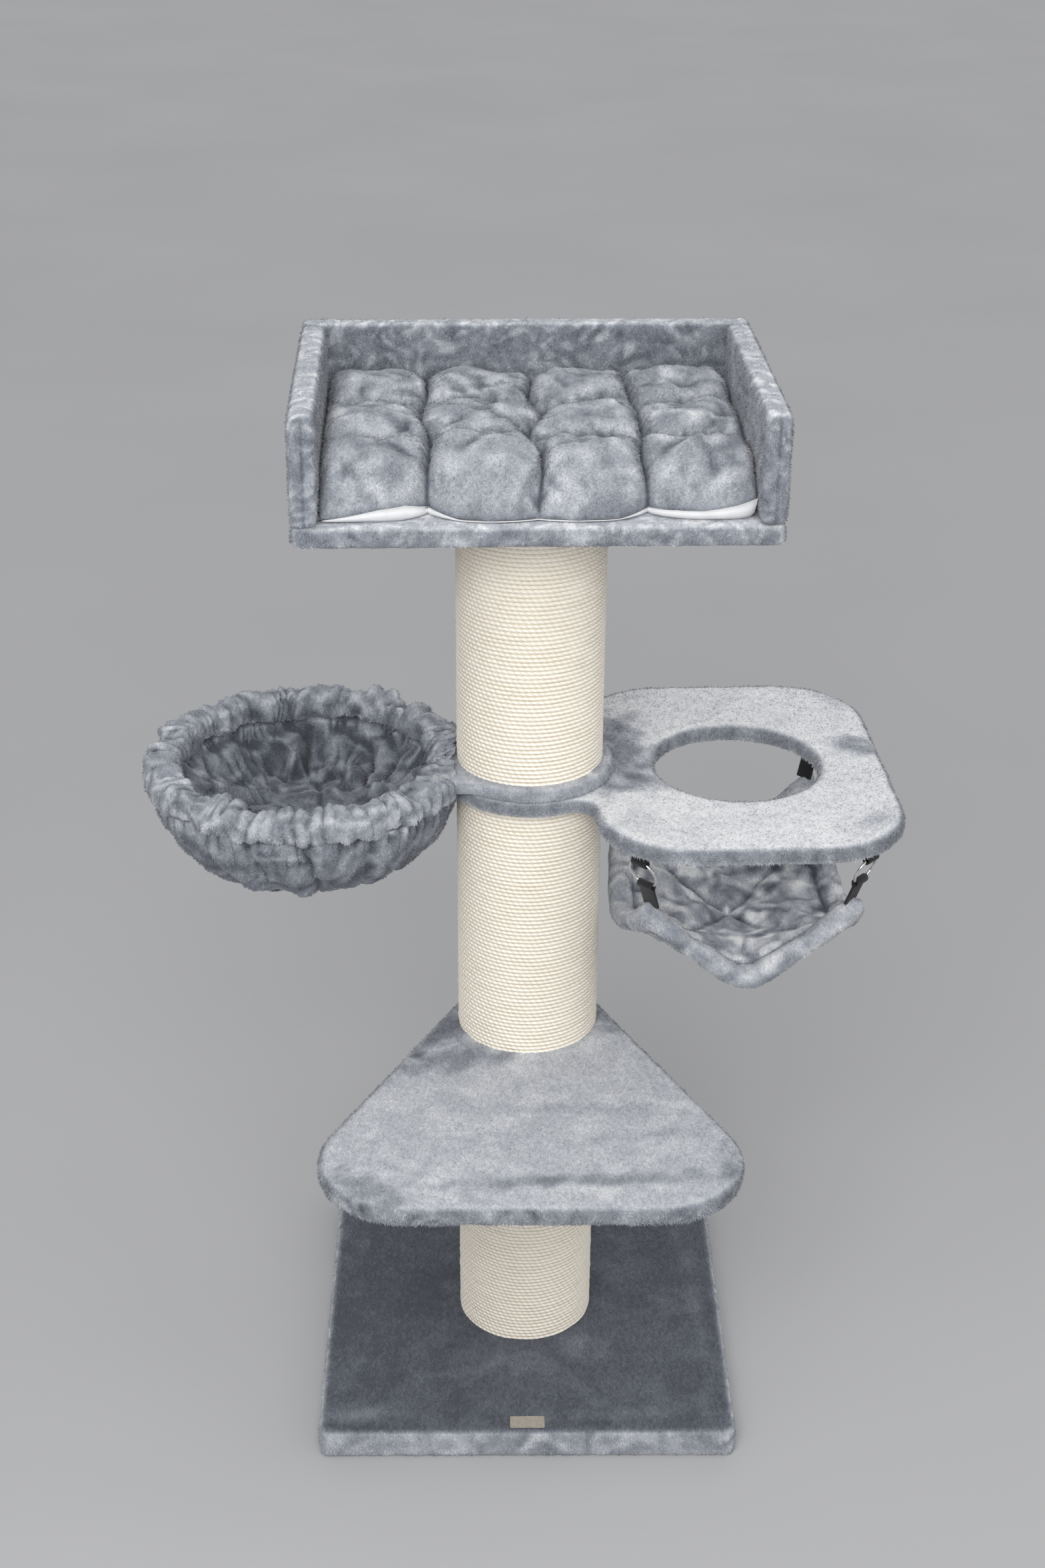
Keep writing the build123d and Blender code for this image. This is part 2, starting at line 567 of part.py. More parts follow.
def make_cushion():
    """The quilted cushion: a ruled loft from front to back, with four crowned columns in each section."""
    front = -BED_DEPTH / 2 + CUSHION_SETBACK
    back = BED_DEPTH / 2 - BED_WALL - CUSHION_ROOM
    half = BED_WIDTH / 2 - BED_WALL - CUSHION_ROOM
    low = FLOOR_TOP + SEAT
    pad = CUSHION_HEIGHT - LINING
    count = ROWS * ROW_STEPS
    sections = []
    for i in range(count + 1):
        swell = abs(math.sin(math.pi * i / ROW_STEPS)) ** SWELL_POWER
        seam = EDGE_SHARE if i in (0, count) else ROW_SEAM_SHARE
        crown = pad * (seam + (1 - seam) * swell)
        crease = crown * COLUMN_SEAM_SHARE
        reach = half - SIDE_DRAW * (1 - swell)
        column = 2 * reach / COLUMNS
        foot = reach - SIDE_DRAW
        seams = [-reach + k * column for k in range(COLUMNS + 1)]
        seams[0] += SIDE_DRAW / 2
        seams[-1] -= SIDE_DRAW / 2
        edges = [Line((-foot, 0), (foot, 0)),
                 ThreePointArc((foot, 0), (reach, crease / 2), (seams[-1], crease)),
                 ThreePointArc((-foot, 0), (-reach, crease / 2), (seams[0], crease))]
        for left, right in zip(seams, seams[1:]):
            edges.append(ThreePointArc((left, crease), ((left + right) / 2, crown), (right, crease)))
        y = front + (back - front) * i / count
        place = Plane((0, y, low + LINING), x_dir=(1, 0, 0), z_dir=(0, -1, 0))
        sections.append(place * make_face(edges))
    parts["cushion_pad"] = loft(sections, ruled=True)
    lining_width = 2 * (half - 2 * SIDE_DRAW)
    lining = RectangleRounded(lining_width, back - front, BED_CORNER)
    parts["cushion_lining"] = Pos(0, (front + back) / 2, low) * extrude(lining, LINING)


make_base()
nuts = make_post("lower_post", BASE_TOP, LOWER_POST)
nuts += make_post("middle_post", PLATFORM_TOP, MIDDLE_POST)
nuts += make_post("upper_post", BASKET_TOP, UPPER_POST)
parts["insert_nuts"] = Compound(nuts)
make_platform()
make_basket()
parts["arm_stud"] = rod(BOLT_RADIUS, BOARD_BOTTOM - BOLT_REACH, BASKET_TOP + BOLT_REACH)

upright = set(parts)
make_hammock()
for name in set(parts) - upright:
    parts[name] = Rot(0, 0, BOARD_TURN) * parts[name]

upright = set(parts)
make_bed()
make_cushion()
for name in set(parts) - upright:
    parts[name] = Rot(0, 0, BED_TURN) * parts[name]

os.makedirs("parts", exist_ok=True)
for name, shape in parts.items():
    export_step(shape, f"parts/{name}.step")
print(len(parts), "nodes, total height", BED_TOP)
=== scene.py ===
# %% [markdown]
# # A cat tree in plush, sisal and webbing
# The frame holds every board, post, ring and bolt at its real size. This lesson dresses it: covers of
# brushed plush round the boards, rope round the posts, a gathered basket, a hammock and a stuffed cushion.
# New shapes are arrays of points that numpy works out, in metres, in the frame's own place.

# %% Load the frame
import math

import bmesh
import bpy
import numpy as np
from mathutils import Matrix, Vector


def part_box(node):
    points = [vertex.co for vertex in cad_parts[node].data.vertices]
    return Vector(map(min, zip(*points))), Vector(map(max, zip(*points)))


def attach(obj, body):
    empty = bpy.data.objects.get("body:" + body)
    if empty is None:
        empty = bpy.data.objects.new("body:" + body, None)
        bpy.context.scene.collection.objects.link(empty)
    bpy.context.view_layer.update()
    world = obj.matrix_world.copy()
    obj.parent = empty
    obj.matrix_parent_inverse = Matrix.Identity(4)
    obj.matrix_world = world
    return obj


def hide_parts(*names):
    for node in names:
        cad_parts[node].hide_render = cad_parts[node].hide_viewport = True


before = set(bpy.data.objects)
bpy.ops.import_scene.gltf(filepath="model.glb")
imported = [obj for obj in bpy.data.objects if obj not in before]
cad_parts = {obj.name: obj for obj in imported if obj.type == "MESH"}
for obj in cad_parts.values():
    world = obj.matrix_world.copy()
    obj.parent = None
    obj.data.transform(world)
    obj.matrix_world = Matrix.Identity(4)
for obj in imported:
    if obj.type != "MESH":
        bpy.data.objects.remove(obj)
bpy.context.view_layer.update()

scene = bpy.context.scene
MM = 0.001

# %% [markdown]
# ## Camera, floor and light
# The camera stands in front of the tree, higher than the bed, and looks down at it. It could be set by eye,
# but its place, tilt and lens were found from the tree's straight edges, so the picture can be laid over
# them. The floor is one pale plane. Three wide soft suns light it evenly, and a glow in front is strongest
# near the top.

# %% Camera
PHOTO_HEIGHT = 2352
FOCAL_PIXELS = 3401.7
SENSOR = 36.0
EYE = Vector((-0.0535, -2.7959, 2.3375))
PITCH, YAW, ROLL = 0.4642, 0.0158, 0.0073

forward = Vector((math.sin(YAW) * math.cos(PITCH), math.cos(YAW) * math.cos(PITCH), -math.sin(PITCH)))
level = Vector((math.cos(YAW), -math.sin(YAW), 0))
upward = level.cross(forward)
across = level * math.cos(ROLL) + upward * math.sin(ROLL)
above = upward * math.cos(ROLL) - level * math.sin(ROLL)
camera = bpy.data.objects.new("camera", bpy.data.cameras.new("camera"))
camera.data.lens = FOCAL_PIXELS / PHOTO_HEIGHT * SENSOR
camera.matrix_world = Matrix.Translation(EYE) @ Matrix((across, above, -forward)).transposed().to_4x4()
scene.collection.objects.link(camera)
scene.camera = camera
print("lens", round(camera.data.lens, 2), "mm")

# %% Lamps and sky
SUNS = {  # the way the light comes from, strength, and the width of its disc in degrees
    "key": ((-0.40, -1.0, 1.2), 0.72, 50.0),
    "fill": ((1.0, -0.8, 1.0), 0.78, 80.0),
    "rim": ((0.1, 1.0, 1.3), 0.40, 90.0),
}
SKY = (0.88, 0.89, 0.91, 1.0)
SKY_STRENGTH = 0.44
SUN_DISTANCE = 3
GLOW_PLACE, GLOW_SIDE, GLOW_WATTS = (-0.3, -2.4, 2.3), 1.3, 42.0


def light(name, kind, place, target=(0.0, 0.0, 1.0), **settings):
    """A lamp at a place that faces its target."""
    made = bpy.data.objects.new(name, bpy.data.lights.new(name, kind))
    for key, value in settings.items():
        setattr(made.data, key, value)
    made.location = place
    made.rotation_euler = (Vector(target) - Vector(place)).to_track_quat("-Z", "Y").to_euler()
    scene.collection.objects.link(made)


for name, (way, strength, width) in SUNS.items():
    light(name, "SUN", Vector(way) * SUN_DISTANCE, (0.0, 0.0, 0.0), energy=strength,
          angle=math.radians(width))
light("glow", "AREA", GLOW_PLACE, energy=GLOW_WATTS, size=GLOW_SIDE)
scene.world = bpy.data.worlds.new("sky")
scene.world.use_nodes = True
backdrop = scene.world.node_tree.nodes["Background"]
backdrop.inputs["Color"].default_value = SKY
backdrop.inputs["Strength"].default_value = SKY_STRENGTH
scene.view_settings.view_transform = "Standard"
print("lamps:", ", ".join(SUNS), "and glow")

# %% [markdown]
# ## Tools for points and meshes
# A grid of points becomes a mesh when each cell of the grid is one face. Primitives and modifiers take many
# steps to such shapes, and an array takes one. A smooth random field, a sum of cosine waves with seeded
# directions, roughens cloth and mottles its colour in the same way each run.

# %% Grids and random fields
WAVE_COUNT, WAVE_SPREAD = 32, (0.7, 1.4)


def smooth(low, high, value):
    """0 below low, 1 above high, and an S-shaped rise between them."""
    share = np.clip((value - low) / (high - low), 0, 1)
    return share * share * (3 - 2 * share)


def waves(points, size, seed, count=WAVE_COUNT):
    """A random field of unit spread: cosine waves about size long, in random directions, summed."""
    random = np.random.default_rng(seed)
    ways = random.normal(size=(points.shape[-1], count))
    ways *= 2 * np.pi * random.uniform(*WAVE_SPREAD, count) / (size * np.linalg.norm(ways, axis=0))
    return np.cos(points @ ways + random.uniform(0, 2 * np.pi, count)).sum(-1) * math.sqrt(2 / count)


def grid_faces(rows, columns, ring_rows=False, ring_columns=False):
    """Four corners for each cell of a grid. A ring joins the last row or column to the first."""
    index = np.arange(rows * columns).reshape(rows, columns)
    if ring_rows:
        index = np.concatenate([index, index[:1]])
    if ring_columns:
        index = np.concatenate([index, index[:, :1]], axis=1)
    cells = [index[:-1, :-1], index[:-1, 1:], index[1:, 1:], index[1:, :-1]]
    return np.stack(cells, axis=-1).reshape(-1, 4)


ring_faces = len(grid_faces(3, 4, True, True))
print("a grid of 3 by 4 points:", len(grid_faces(3, 4)), "faces, or", ring_faces, "as a ring")

# %% Pieces and their points
MERGE = 1e-5


def new_piece(name, points, faces):
    """An object at the origin, with smooth shading, from points and faces of one number of sides."""
    mesh = bpy.data.meshes.new(name)
    mesh.from_pydata(np.asarray(points, float).reshape(-1, 3), [], faces, shade_flat=False)
    made = bpy.data.objects.new(name, mesh)
    scene.collection.objects.link(made)
    return made


def close_seams(piece, merge=MERGE):
    """Merges points that meet and turns every face outwards."""
    work = bmesh.new()
    work.from_mesh(piece.data)
    bmesh.ops.remove_doubles(work, verts=work.verts, dist=merge)
    bmesh.ops.dissolve_degenerate(work, edges=work.edges, dist=merge / 10)
    bmesh.ops.recalc_face_normals(work, faces=work.faces)
    work.to_mesh(piece.data)
    work.free()


def read(mesh, values="co"):
    """The points of a mesh, or their normals, as an array of rows of three."""
    found = np.empty(len(mesh.vertices) * 3)
    source = mesh.vertices if values == "co" else mesh.vertex_normals
    source.foreach_get("co" if values == "co" else "vector", found)
    return found.reshape(-1, 3)


def write(mesh, points):
    """Puts the points back into the mesh."""
    mesh.vertices.foreach_set("co", points.ravel())
    mesh.update()


def set_attribute(mesh, name, values):
    """A number for each point, which a finish reads by its name."""
    made = mesh.attributes.get(name) or mesh.attributes.new(name, "FLOAT", "POINT")
    made.data.foreach_set("value", np.asarray(values, np.float32))


def set_uv(piece, name, places):
    """Two numbers for each corner of each face: a place along and across a rope or a tape."""
    layer = piece.data.uv_layers.new(name=name)
    layer.data.foreach_set("uv", np.asarray(places, np.float32).ravel())


def dress(piece, finish, body, slot, *replaced):
    """Gives a piece its finish and its body, and hides the frame's nodes that it stands for. The slot is not
    used.
    """
    piece.data.materials.clear()
    piece.data.materials.append(finish)
    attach(piece, body)
    if replaced:
        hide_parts(*replaced)


# %% Averages, folds and turns
# A painted highlight on ridges, as a share of the painted shade deep in folds.
RIDGE_HIGHLIGHT = 0.15


def averaged(mesh, values, rounds):
    """Rows of values for the points, after rounds in which each goes half-way to its neighbours' mean."""
    ends = np.empty(len(mesh.edges) * 2, np.int32)
    mesh.edges.foreach_get("vertices", ends)
    a, b = ends.reshape(-1, 2).T
    here, there = np.concatenate([a, b]), np.concatenate([b, a])
    count = np.maximum(np.bincount(here, minlength=len(values)), 1)[:, None]
    for step in range(rounds):
        total = np.stack([np.bincount(here, column, len(values)) for column in values[there].T], axis=-1)
        values = (values + total / count) / 2
    return values


# Painted shade and highlight: the pile is darkened in folds and lightened on ridges, as light falls on them.
def fold_shade(mesh, rounds, reach):
    """-1 deep in folds, 0 on even cloth, RIDGE_HIGHLIGHT on ridges: how far a point lies below the mean round it."""
    points = read(mesh)
    depth = ((averaged(mesh, points, rounds) - points) * read(mesh, "normal")).sum(1) / reach
    return np.where(depth > 0, -1, RIDGE_HIGHLIGHT) * np.tanh(np.abs(depth))


def turned(points, degrees):
    """Points turned about the post's axis."""
    c, s = math.cos(math.radians(degrees)), math.sin(math.radians(degrees))
    return points @ np.array([[c, s, 0], [-s, c, 0], [0, 0, 1]])


print("a quarter turn takes x to", np.round(turned(np.array([1.0, 0, 0]), 90), 3))

# %% [markdown]
# ## Finishes
# Each finish is a small tree of nodes. Values that are the same all over are set on the shader itself. The
# plush reads one number for each point, its nap and painted shade: 0 where the pile is brushed away from
# the light and looks dark, 1 where it lies towards it and looks silver. Painted shade lowers it in folds,
# seams, deep in the basket, under the boards and on the base's top, and painted light raises it on ridges,
# fibre tips and edges turned away. Fine stretched noise breaks that up into fibres. An image of fur would
# repeat and have seams, and noise in the piece's own place does neither.

# %% Node helpers
def finish(name, settings):
    """A new finish and its shader, with the shader's even values set."""
    made = bpy.data.materials.new(name)
    made.use_nodes = True
    shader = made.node_tree.nodes["Principled BSDF"]
    for socket, value in settings.items():
        shader.inputs[socket].default_value = value
    return made, shader


def node(made, kind, inputs=None, **settings):
    """Adds a node. Each input takes a value, or another node's output to be linked."""
    new = made.node_tree.nodes.new(kind)
    for key, value in settings.items():
        setattr(new, key, value)
    for socket, value in (inputs or {}).items():
        if isinstance(value, bpy.types.NodeSocket):
            made.node_tree.links.new(value, new.inputs[socket])
        else:
            new.inputs[socket].default_value = value
    return new


def noise(made, source, stretch, turn=(0.0, 0.0, 0.0), detail=3.0, roughness=0.6):
    """Noise with its own scale along each axis, in waves for each metre."""
    place = node(made, "ShaderNodeMapping", {"Vector": source, "Scale": stretch, "Rotation": turn})
    return node(made, "ShaderNodeTexNoise", {"Vector": place.outputs[0], "Scale": 1.0, "Detail": detail,
                                             "Roughness": roughness}).outputs["Fac"]


def sums(made, operation, *values):
    """One step of arithmetic on outputs and numbers."""
    return node(made, "ShaderNodeMath", dict(enumerate(values)), operation=operation).outputs[0]


def added(made, start, *shares):
    """A start value plus each output times its share."""
    for output, share in shares:
        start = sums(made, "MULTIPLY_ADD", output, share, start)
    return start


def ramp(made, source, *stops):
    """Colours along a value: each stop is a position and a colour."""
    colours = node(made, "ShaderNodeValToRGB", {"Fac": source})
    elements = colours.color_ramp.elements
    while len(elements) < len(stops):
        elements.new(1.0)
    for element, (position, colour) in zip(elements, stops):
        element.position = position
        element.color = (*colour, 1.0)
    return colours.outputs["Color"]


def connect(made, shader, **outputs):
    """Links outputs to the shader's sockets."""
    for socket, output in outputs.items():
        made.node_tree.links.new(output, shader.inputs[socket.replace("_", " ")])


def bump(made, height, depth, strength=1.0):
    """Fine relief of a given depth, in metres."""
    inputs = {"Height": height, "Distance": depth, "Strength": strength}
    return node(made, "ShaderNodeBump", inputs).outputs[0]


# %% Plush
PILE_SHADE = (0.060, 0.066, 0.080)
PILE_DARK = (0.125, 0.135, 0.158)
PILE_MIDDLE = (0.265, 0.280, 0.312)
PILE_LIGHT = (0.450, 0.465, 0.495)
PILE_SILVER = (0.780, 0.783, 0.790)
FIBRE_TURN = (0.5, 0.3, 0.9)
FIBRE_WAVES, TUFT_WAVES = (560, 210, 380), (170, 90, 140)  # for each metre
FIBRE_SHARE, TUFT_SHARE = 0.62, 0.34
PILE_DEPTH = 1.2 * MM


def plush_finish():
    """Short pile: the nap picks a grey from shade to silver, and two scales of stretched noise move it."""
    made, shader = finish("plush", {"Roughness": 0.9, "Specular IOR Level": 0.12, "Sheen Weight": 0.25,
                                    "Sheen Roughness": 0.5, "Sheen Tint": (0.88, 0.91, 1.0, 1.0)})
    place = node(made, "ShaderNodeTexCoord").outputs["Object"]
    nap_and_shade = node(made, "ShaderNodeAttribute", attribute_name="nap_and_shade").outputs["Fac"]
    fibres = noise(made, place, FIBRE_WAVES, FIBRE_TURN, roughness=0.7)
    tufts = noise(made, place, TUFT_WAVES, FIBRE_TURN)
    level = added(made, nap_and_shade, (fibres, FIBRE_SHARE), (tufts, TUFT_SHARE))
    level = sums(made, "SUBTRACT", level, (FIBRE_SHARE + TUFT_SHARE) / 2)
    colour = ramp(made, level, (0.0, PILE_SHADE), (0.2, PILE_DARK), (0.48, PILE_MIDDLE), (0.72, PILE_LIGHT),
                  (1.0, PILE_SILVER))
    relief = added(made, fibres, (tufts, 1.2))
    connect(made, shader, Base_Color=colour, Normal=bump(made, relief, PILE_DEPTH, 0.6))
    return made


plush = plush_finish()
print("plush:", len(plush.node_tree.nodes), "nodes")

# %% Sisal
SISAL_SHADE = (0.50, 0.42, 0.31)
SISAL_MIDDLE = (0.850, 0.785, 0.670)
SISAL_LIGHT = (0.950, 0.915, 0.840)
LAYS_ROUND = 74.38  # twists of the strands in one loop, not a whole number, so that loops don't line up
HAIR_WAVES, BLOTCH_WAVES = (420, 420, 900), (22, 22, 60)
GROOVE_SHADE_SHARE, STRAND_SHARE, HAIR_SHARE, BLOTCH_SHARE = 0.42, 0.16, 0.36, 0.22
STRAND_DEPTH = 0.9 * MM


def sisal_finish():
    """Twisted rope: slanting strands from a sine of the rope's length and its turn, and hairy noise."""
    made, shader = finish("sisal", {"Roughness": 0.82, "Specular IOR Level": 0.2, "Sheen Weight": 0.5,
                                    "Sheen Roughness": 0.4, "Sheen Tint": (1.0, 0.94, 0.84, 1.0)})
    place = node(made, "ShaderNodeTexCoord").outputs
    apart = node(made, "ShaderNodeSeparateXYZ", {"Vector": place["UV"]}).outputs
    along = sums(made, "ADD", apart["X"], sums(made, "FLOOR", apart["Y"]))
    turn = sums(made, "MULTIPLY", along, 2 * math.pi * LAYS_ROUND)
    turn = sums(made, "MULTIPLY_ADD", apart["Y"], 2 * math.pi, turn)
    strands = sums(made, "MULTIPLY_ADD", sums(made, "SINE", turn), 0.5, 0.5)
    # Painted shade: the rope is darker in the grooves between its loops, lighter on their crests.
    groove_shade = sums(made, "COSINE", sums(made, "MULTIPLY", apart["Y"], 2 * math.pi))
    groove_shade = sums(made, "MULTIPLY_ADD", groove_shade, -0.5, 0.5)
    hairs = noise(made, place["Object"], HAIR_WAVES, roughness=0.7)
    blotch = noise(made, place["Object"], BLOTCH_WAVES, detail=2.0)
    level = sums(made, "MULTIPLY", sums(made, "POWER", groove_shade, 0.6), GROOVE_SHADE_SHARE)
    level = added(made, level, (strands, STRAND_SHARE), (hairs, HAIR_SHARE), (blotch, BLOTCH_SHARE))
    colour = ramp(made, level, (0.25, SISAL_SHADE), (0.58, SISAL_MIDDLE), (0.92, SISAL_LIGHT))
    relief = added(made, strands, (hairs, 0.8))
    connect(made, shader, Base_Color=colour, Normal=bump(made, relief, STRAND_DEPTH, 0.8))
    return made


sisal = sisal_finish()
print("sisal:", len(sisal.node_tree.nodes), "nodes")

# %% Cloth, wood, card and metal
LINING_DULL, LINING_WHITE = (0.64, 0.65, 0.66), (0.76, 0.76, 0.77)
WEBBING_BLACK, WEBBING_WORN = (0.004, 0.004, 0.005), (0.022, 0.022, 0.025)
CROSS_THREAD, RIB = 1.8 * MM, 2.4 * MM


def lining_finish():
    """Smooth white cloth with a fine plain weave."""
    made, shader = finish("lining", {"Roughness": 0.75, "Sheen Weight": 0.1})
    place = node(made, "ShaderNodeTexCoord").outputs["Object"]
    threads = noise(made, place, (900, 900, 900), detail=1.0)
    soft = noise(made, place, (30, 30, 30))
    colour = ramp(made, soft, (0.3, LINING_DULL), (0.7, LINING_WHITE))
    connect(made, shader, Base_Color=colour, Normal=bump(made, threads, 0.2 * MM, 0.4))
    return made


def webbing_finish():
    """Black woven tape: cross threads and ribs from two sines of its own length and width."""
    made, shader = finish("webbing", {"Roughness": 0.7, "Specular IOR Level": 0.3, "Sheen Weight": 0.15})
    place = node(made, "ShaderNodeTexCoord").outputs["UV"]
    apart = node(made, "ShaderNodeSeparateXYZ", {"Vector": place}).outputs
    along = sums(made, "SINE", sums(made, "MULTIPLY", apart["X"], 2 * math.pi / CROSS_THREAD))
    ribs = sums(made, "SINE", sums(made, "MULTIPLY", apart["Y"], 2 * math.pi / RIB))
    weave = sums(made, "MULTIPLY", along, ribs)
    shade = sums(made, "MULTIPLY_ADD", weave, 0.5, 0.5)
    colour = ramp(made, shade, (0.0, WEBBING_BLACK), (1.0, WEBBING_WORN))
    connect(made, shader, Base_Color=colour, Normal=bump(made, weave, 0.35 * MM, 0.8))
    return made


def metal_finish(name, bright, dull, roughness, stretch):
    """Plated metal: fine scratches and a little tarnish move its colour and its gloss."""
    made, shader = finish(name, {"Metallic": 1.0})
    place = node(made, "ShaderNodeTexCoord").outputs["Object"]
    scratches = noise(made, place, stretch, detail=4.0)
    colour = ramp(made, scratches, (0.3, dull), (0.6, bright))
    gloss = sums(made, "MULTIPLY_ADD", scratches, roughness, roughness / 2)
    connect(made, shader, Base_Color=colour, Roughness=gloss, Normal=bump(made, scratches, 0.05 * MM, 0.3))
    return made


def wood_finish(name, light, dark, stretch):
    """Board or card: long noise for its grain or its spiral, fine noise for its chips."""
    made, shader = finish(name, {"Roughness": 0.8, "Specular IOR Level": 0.25})
    place = node(made, "ShaderNodeTexCoord").outputs["Object"]
    grain = noise(made, place, stretch, detail=5.0, roughness=0.7)
    chips = noise(made, place, (260, 260, 260), detail=2.0)
    level = added(made, sums(made, "MULTIPLY", grain, 0.6), (chips, 0.4))
    connect(made, shader, Base_Color=ramp(made, level, (0.35, dark), (0.65, light)),
            Normal=bump(made, level, 0.4 * MM, 0.5))
    return made


finishes = {
    "lining": lining_finish(),
    "webbing": webbing_finish(),
    "nickel": metal_finish("nickel", (0.80, 0.79, 0.77), (0.62, 0.61, 0.60), 0.16, (240, 240, 900)),
    "steel": metal_finish("steel", (0.58, 0.58, 0.60), (0.42, 0.42, 0.44), 0.34, (500, 500, 120)),
    "wood_board": wood_finish("wood_board", (0.62, 0.47, 0.31), (0.40, 0.28, 0.17), (14, 120, 120)),
    "cardboard": wood_finish("cardboard", (0.50, 0.37, 0.24), (0.38, 0.27, 0.17), (60, 60, 16)),
}
HARD = {
    "nickel": ["ring_", "blank_plate"],
    "steel": ["base_bolt", "base_washer", "platform_stud", "arm_stud", "bed_bolt", "bed_screws",
              "hanger_screws", "insert_nuts"],
    "cardboard": ["_tube"],
    "wood_board": ["_board", "_plug"],
}


def finish_frame():
    """Puts a finish on each of the frame's own solids, by the words in its name."""
    done = 0
    for name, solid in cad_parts.items():
        for finish_name, words in HARD.items():
            if any(word in name for word in words):
                solid.data.materials.clear()
                solid.data.materials.append(finishes[finish_name])
                done += 1
                break
    return done


print("finishes:", len(finishes), "on", finish_frame(), "solids of the frame")

# %% Floor
FLOOR_HALF = 30.0
FLOOR_DULL, FLOOR_PALE = (0.44, 0.44, 0.445), (0.46, 0.46, 0.465)
floor = new_piece("floor", np.array([[-1, -1, 0], [1, -1, 0], [1, 1, 0], [-1, 1, 0]]) * FLOOR_HALF,
                  np.array([[0, 1, 2, 3]]))
pale, pale_shader = finish("pale_floor", {"Roughness": 0.9, "Specular IOR Level": 0.1})
faint = noise(pale, node(pale, "ShaderNodeTexCoord").outputs["Object"], (0.8, 0.8, 0.8), detail=2.0)
connect(pale, pale_shader, Base_Color=ramp(pale, faint, (0.3, FLOOR_DULL), (0.7, FLOOR_PALE)))
floor.data.materials.append(pale)
print("floor:", 2 * FLOOR_HALF, "m wide")

# %% [markdown]
# ## Covers of the boards
# On the real tree, plush is pulled round each board and stapled under it, so a cover has its board's
# outline with soft rounded edges. It could be drawn again as a grid, but the outline is already right in the
# frame, so a copy of board and skin is remeshed into even small squares, and numpy roughens them along their
# normals. The nap of each cover is a formula of the place: a level for the top and one for the sides, with
# soft ellipses where hands brushed it.
# Faces turned to the sides and the back get painted rim light, and undersides painted shade.

# %% Even copies of the frame's boards
SQUARE, WIDE_SQUARE = 3.4 * MM, 4.6 * MM


def even_copy(name, square, *sources):
    """One closed mesh of even squares round copies of the frame's nodes."""
    work = bmesh.new()
    for source in sources:
        work.from_mesh(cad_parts[source].data)
    bmesh.ops.remove_doubles(work, verts=work.verts, dist=MERGE)
    rough = bpy.data.meshes.new(name)
    work.to_mesh(rough)
    work.free()
    piece = bpy.data.objects.new(name, rough)
    scene.collection.objects.link(piece)
    remesh = piece.modifiers.new("even", "REMESH")
    remesh.mode = "VOXEL"
    remesh.voxel_size = square
    remesh.use_smooth_shade = True
    even = bpy.data.meshes.new_from_object(piece.evaluated_get(bpy.context.evaluated_depsgraph_get()))
    piece.modifiers.clear()
    piece.data = even
    return piece


print("squares of", SQUARE / MM, "and", WIDE_SQUARE / MM, "mm")

# %% Uneven pile and brushed places
COARSE_SIZE, FINE_SIZE = 26 * MM, 9 * MM
SMUDGE_WANDER = ((0.20, 42 * MM), (0.04, 11 * MM))
SMUDGE_FADE = (0.1, 1.35)
SWIRL_SIZE, SWIRL_PUSH = 70 * MM, 14 * MM
TOP_SWIRL, TOP_MOTTLE, BELOW_SHADE = 80 * MM, 0.03, 0.1


def ruffle(points, normals, seed, coarse=0.25 * MM, fine=0.16 * MM):
    """Moves points along their normals by two random fields, as brushed pile lies uneven."""
    rise = coarse * waves(points, COARSE_SIZE, seed) + fine * waves(points, FINE_SIZE, seed + 1)
    return points + normals * rise[:, None]


def brushed(points, seed, *spots):
    """Soft ellipses in plan, summed: place x and y, half length, half width, turn in degrees, strength."""
    wander = sum(reach * waves(points, size, seed + k) for k, (reach, size) in enumerate(SMUDGE_WANDER))
    total = np.zeros(len(points))
    for x, y, length, width, turn, strength in spots:
        c, s = math.cos(math.radians(turn)), math.sin(math.radians(turn))
        dx, dy = points[:, 0] - x * MM, points[:, 1] - y * MM
        reach = np.hypot((dx * c + dy * s) / (length * MM), (dy * c - dx * s) / (width * MM))
        total += strength * (1 - smooth(*SMUDGE_FADE, reach + wander))
    return total


def mottled(points, seed, size=46 * MM):
    """Swirls: a random field read at places that three others have pushed aside."""
    push = np.stack([waves(points, SWIRL_SIZE, seed + k) for k in range(3)], axis=-1)
    return waves(points + push * SWIRL_PUSH, size, seed + 3)


def upright_share(normals):
    """1 on upright faces, 0 on level ones."""
    return 1 - smooth(0.55, 0.99, np.abs(normals[:, 2]))


def rim_light_share(normals):
    """0 on upright faces at the front, 1 on those at the sides and the back, where painted rim light goes."""
    return 1 - smooth(-0.1, 0.6, -normals[:, 1])


def underside(normals):
    """1 on faces that look down, 0 on the others."""
    return smooth(0.3, 0.7, -normals[:, 2])


def shaded(normals, top, edge):
    """The top's shade on top, and the edge's shade on upright faces and below."""
    side, under = upright_share(normals), underside(normals)
    return top * (1 - side) * (1 - under) + edge * np.maximum(side, under)


print("a smudge fades between", *SMUDGE_FADE, "of its size")

# %% Cover maker
SOFT_EDGE = 6.6 * MM
EDGE_ROUNDS = 8


def make_cover(name, board, skin, nap_and_shade, seed, square=SQUARE, swell=0.2 * MM, shape=None):
    """A cover from a board and its skin; a function of points and normals gives each point's brushed and
    painted shade.
    """
    piece = even_copy(name, square, board, skin)
    write(piece.data, averaged(piece.data, read(piece.data), round((SOFT_EDGE / square) ** 2)))
    points, normals = read(piece.data), read(piece.data, "normal")
    set_attribute(piece.data, "nap_and_shade", np.clip(nap_and_shade(points, averaged(piece.data, normals, EDGE_ROUNDS)), 0, 1))
    points = ruffle(points, normals, seed) + normals * swell
    write(piece.data, shape(points, normals) if shape else points)
    dress(piece, plush, "tree", "plush", skin)
    print(name, len(piece.data.polygons), "squares")
    return piece


covers = {}

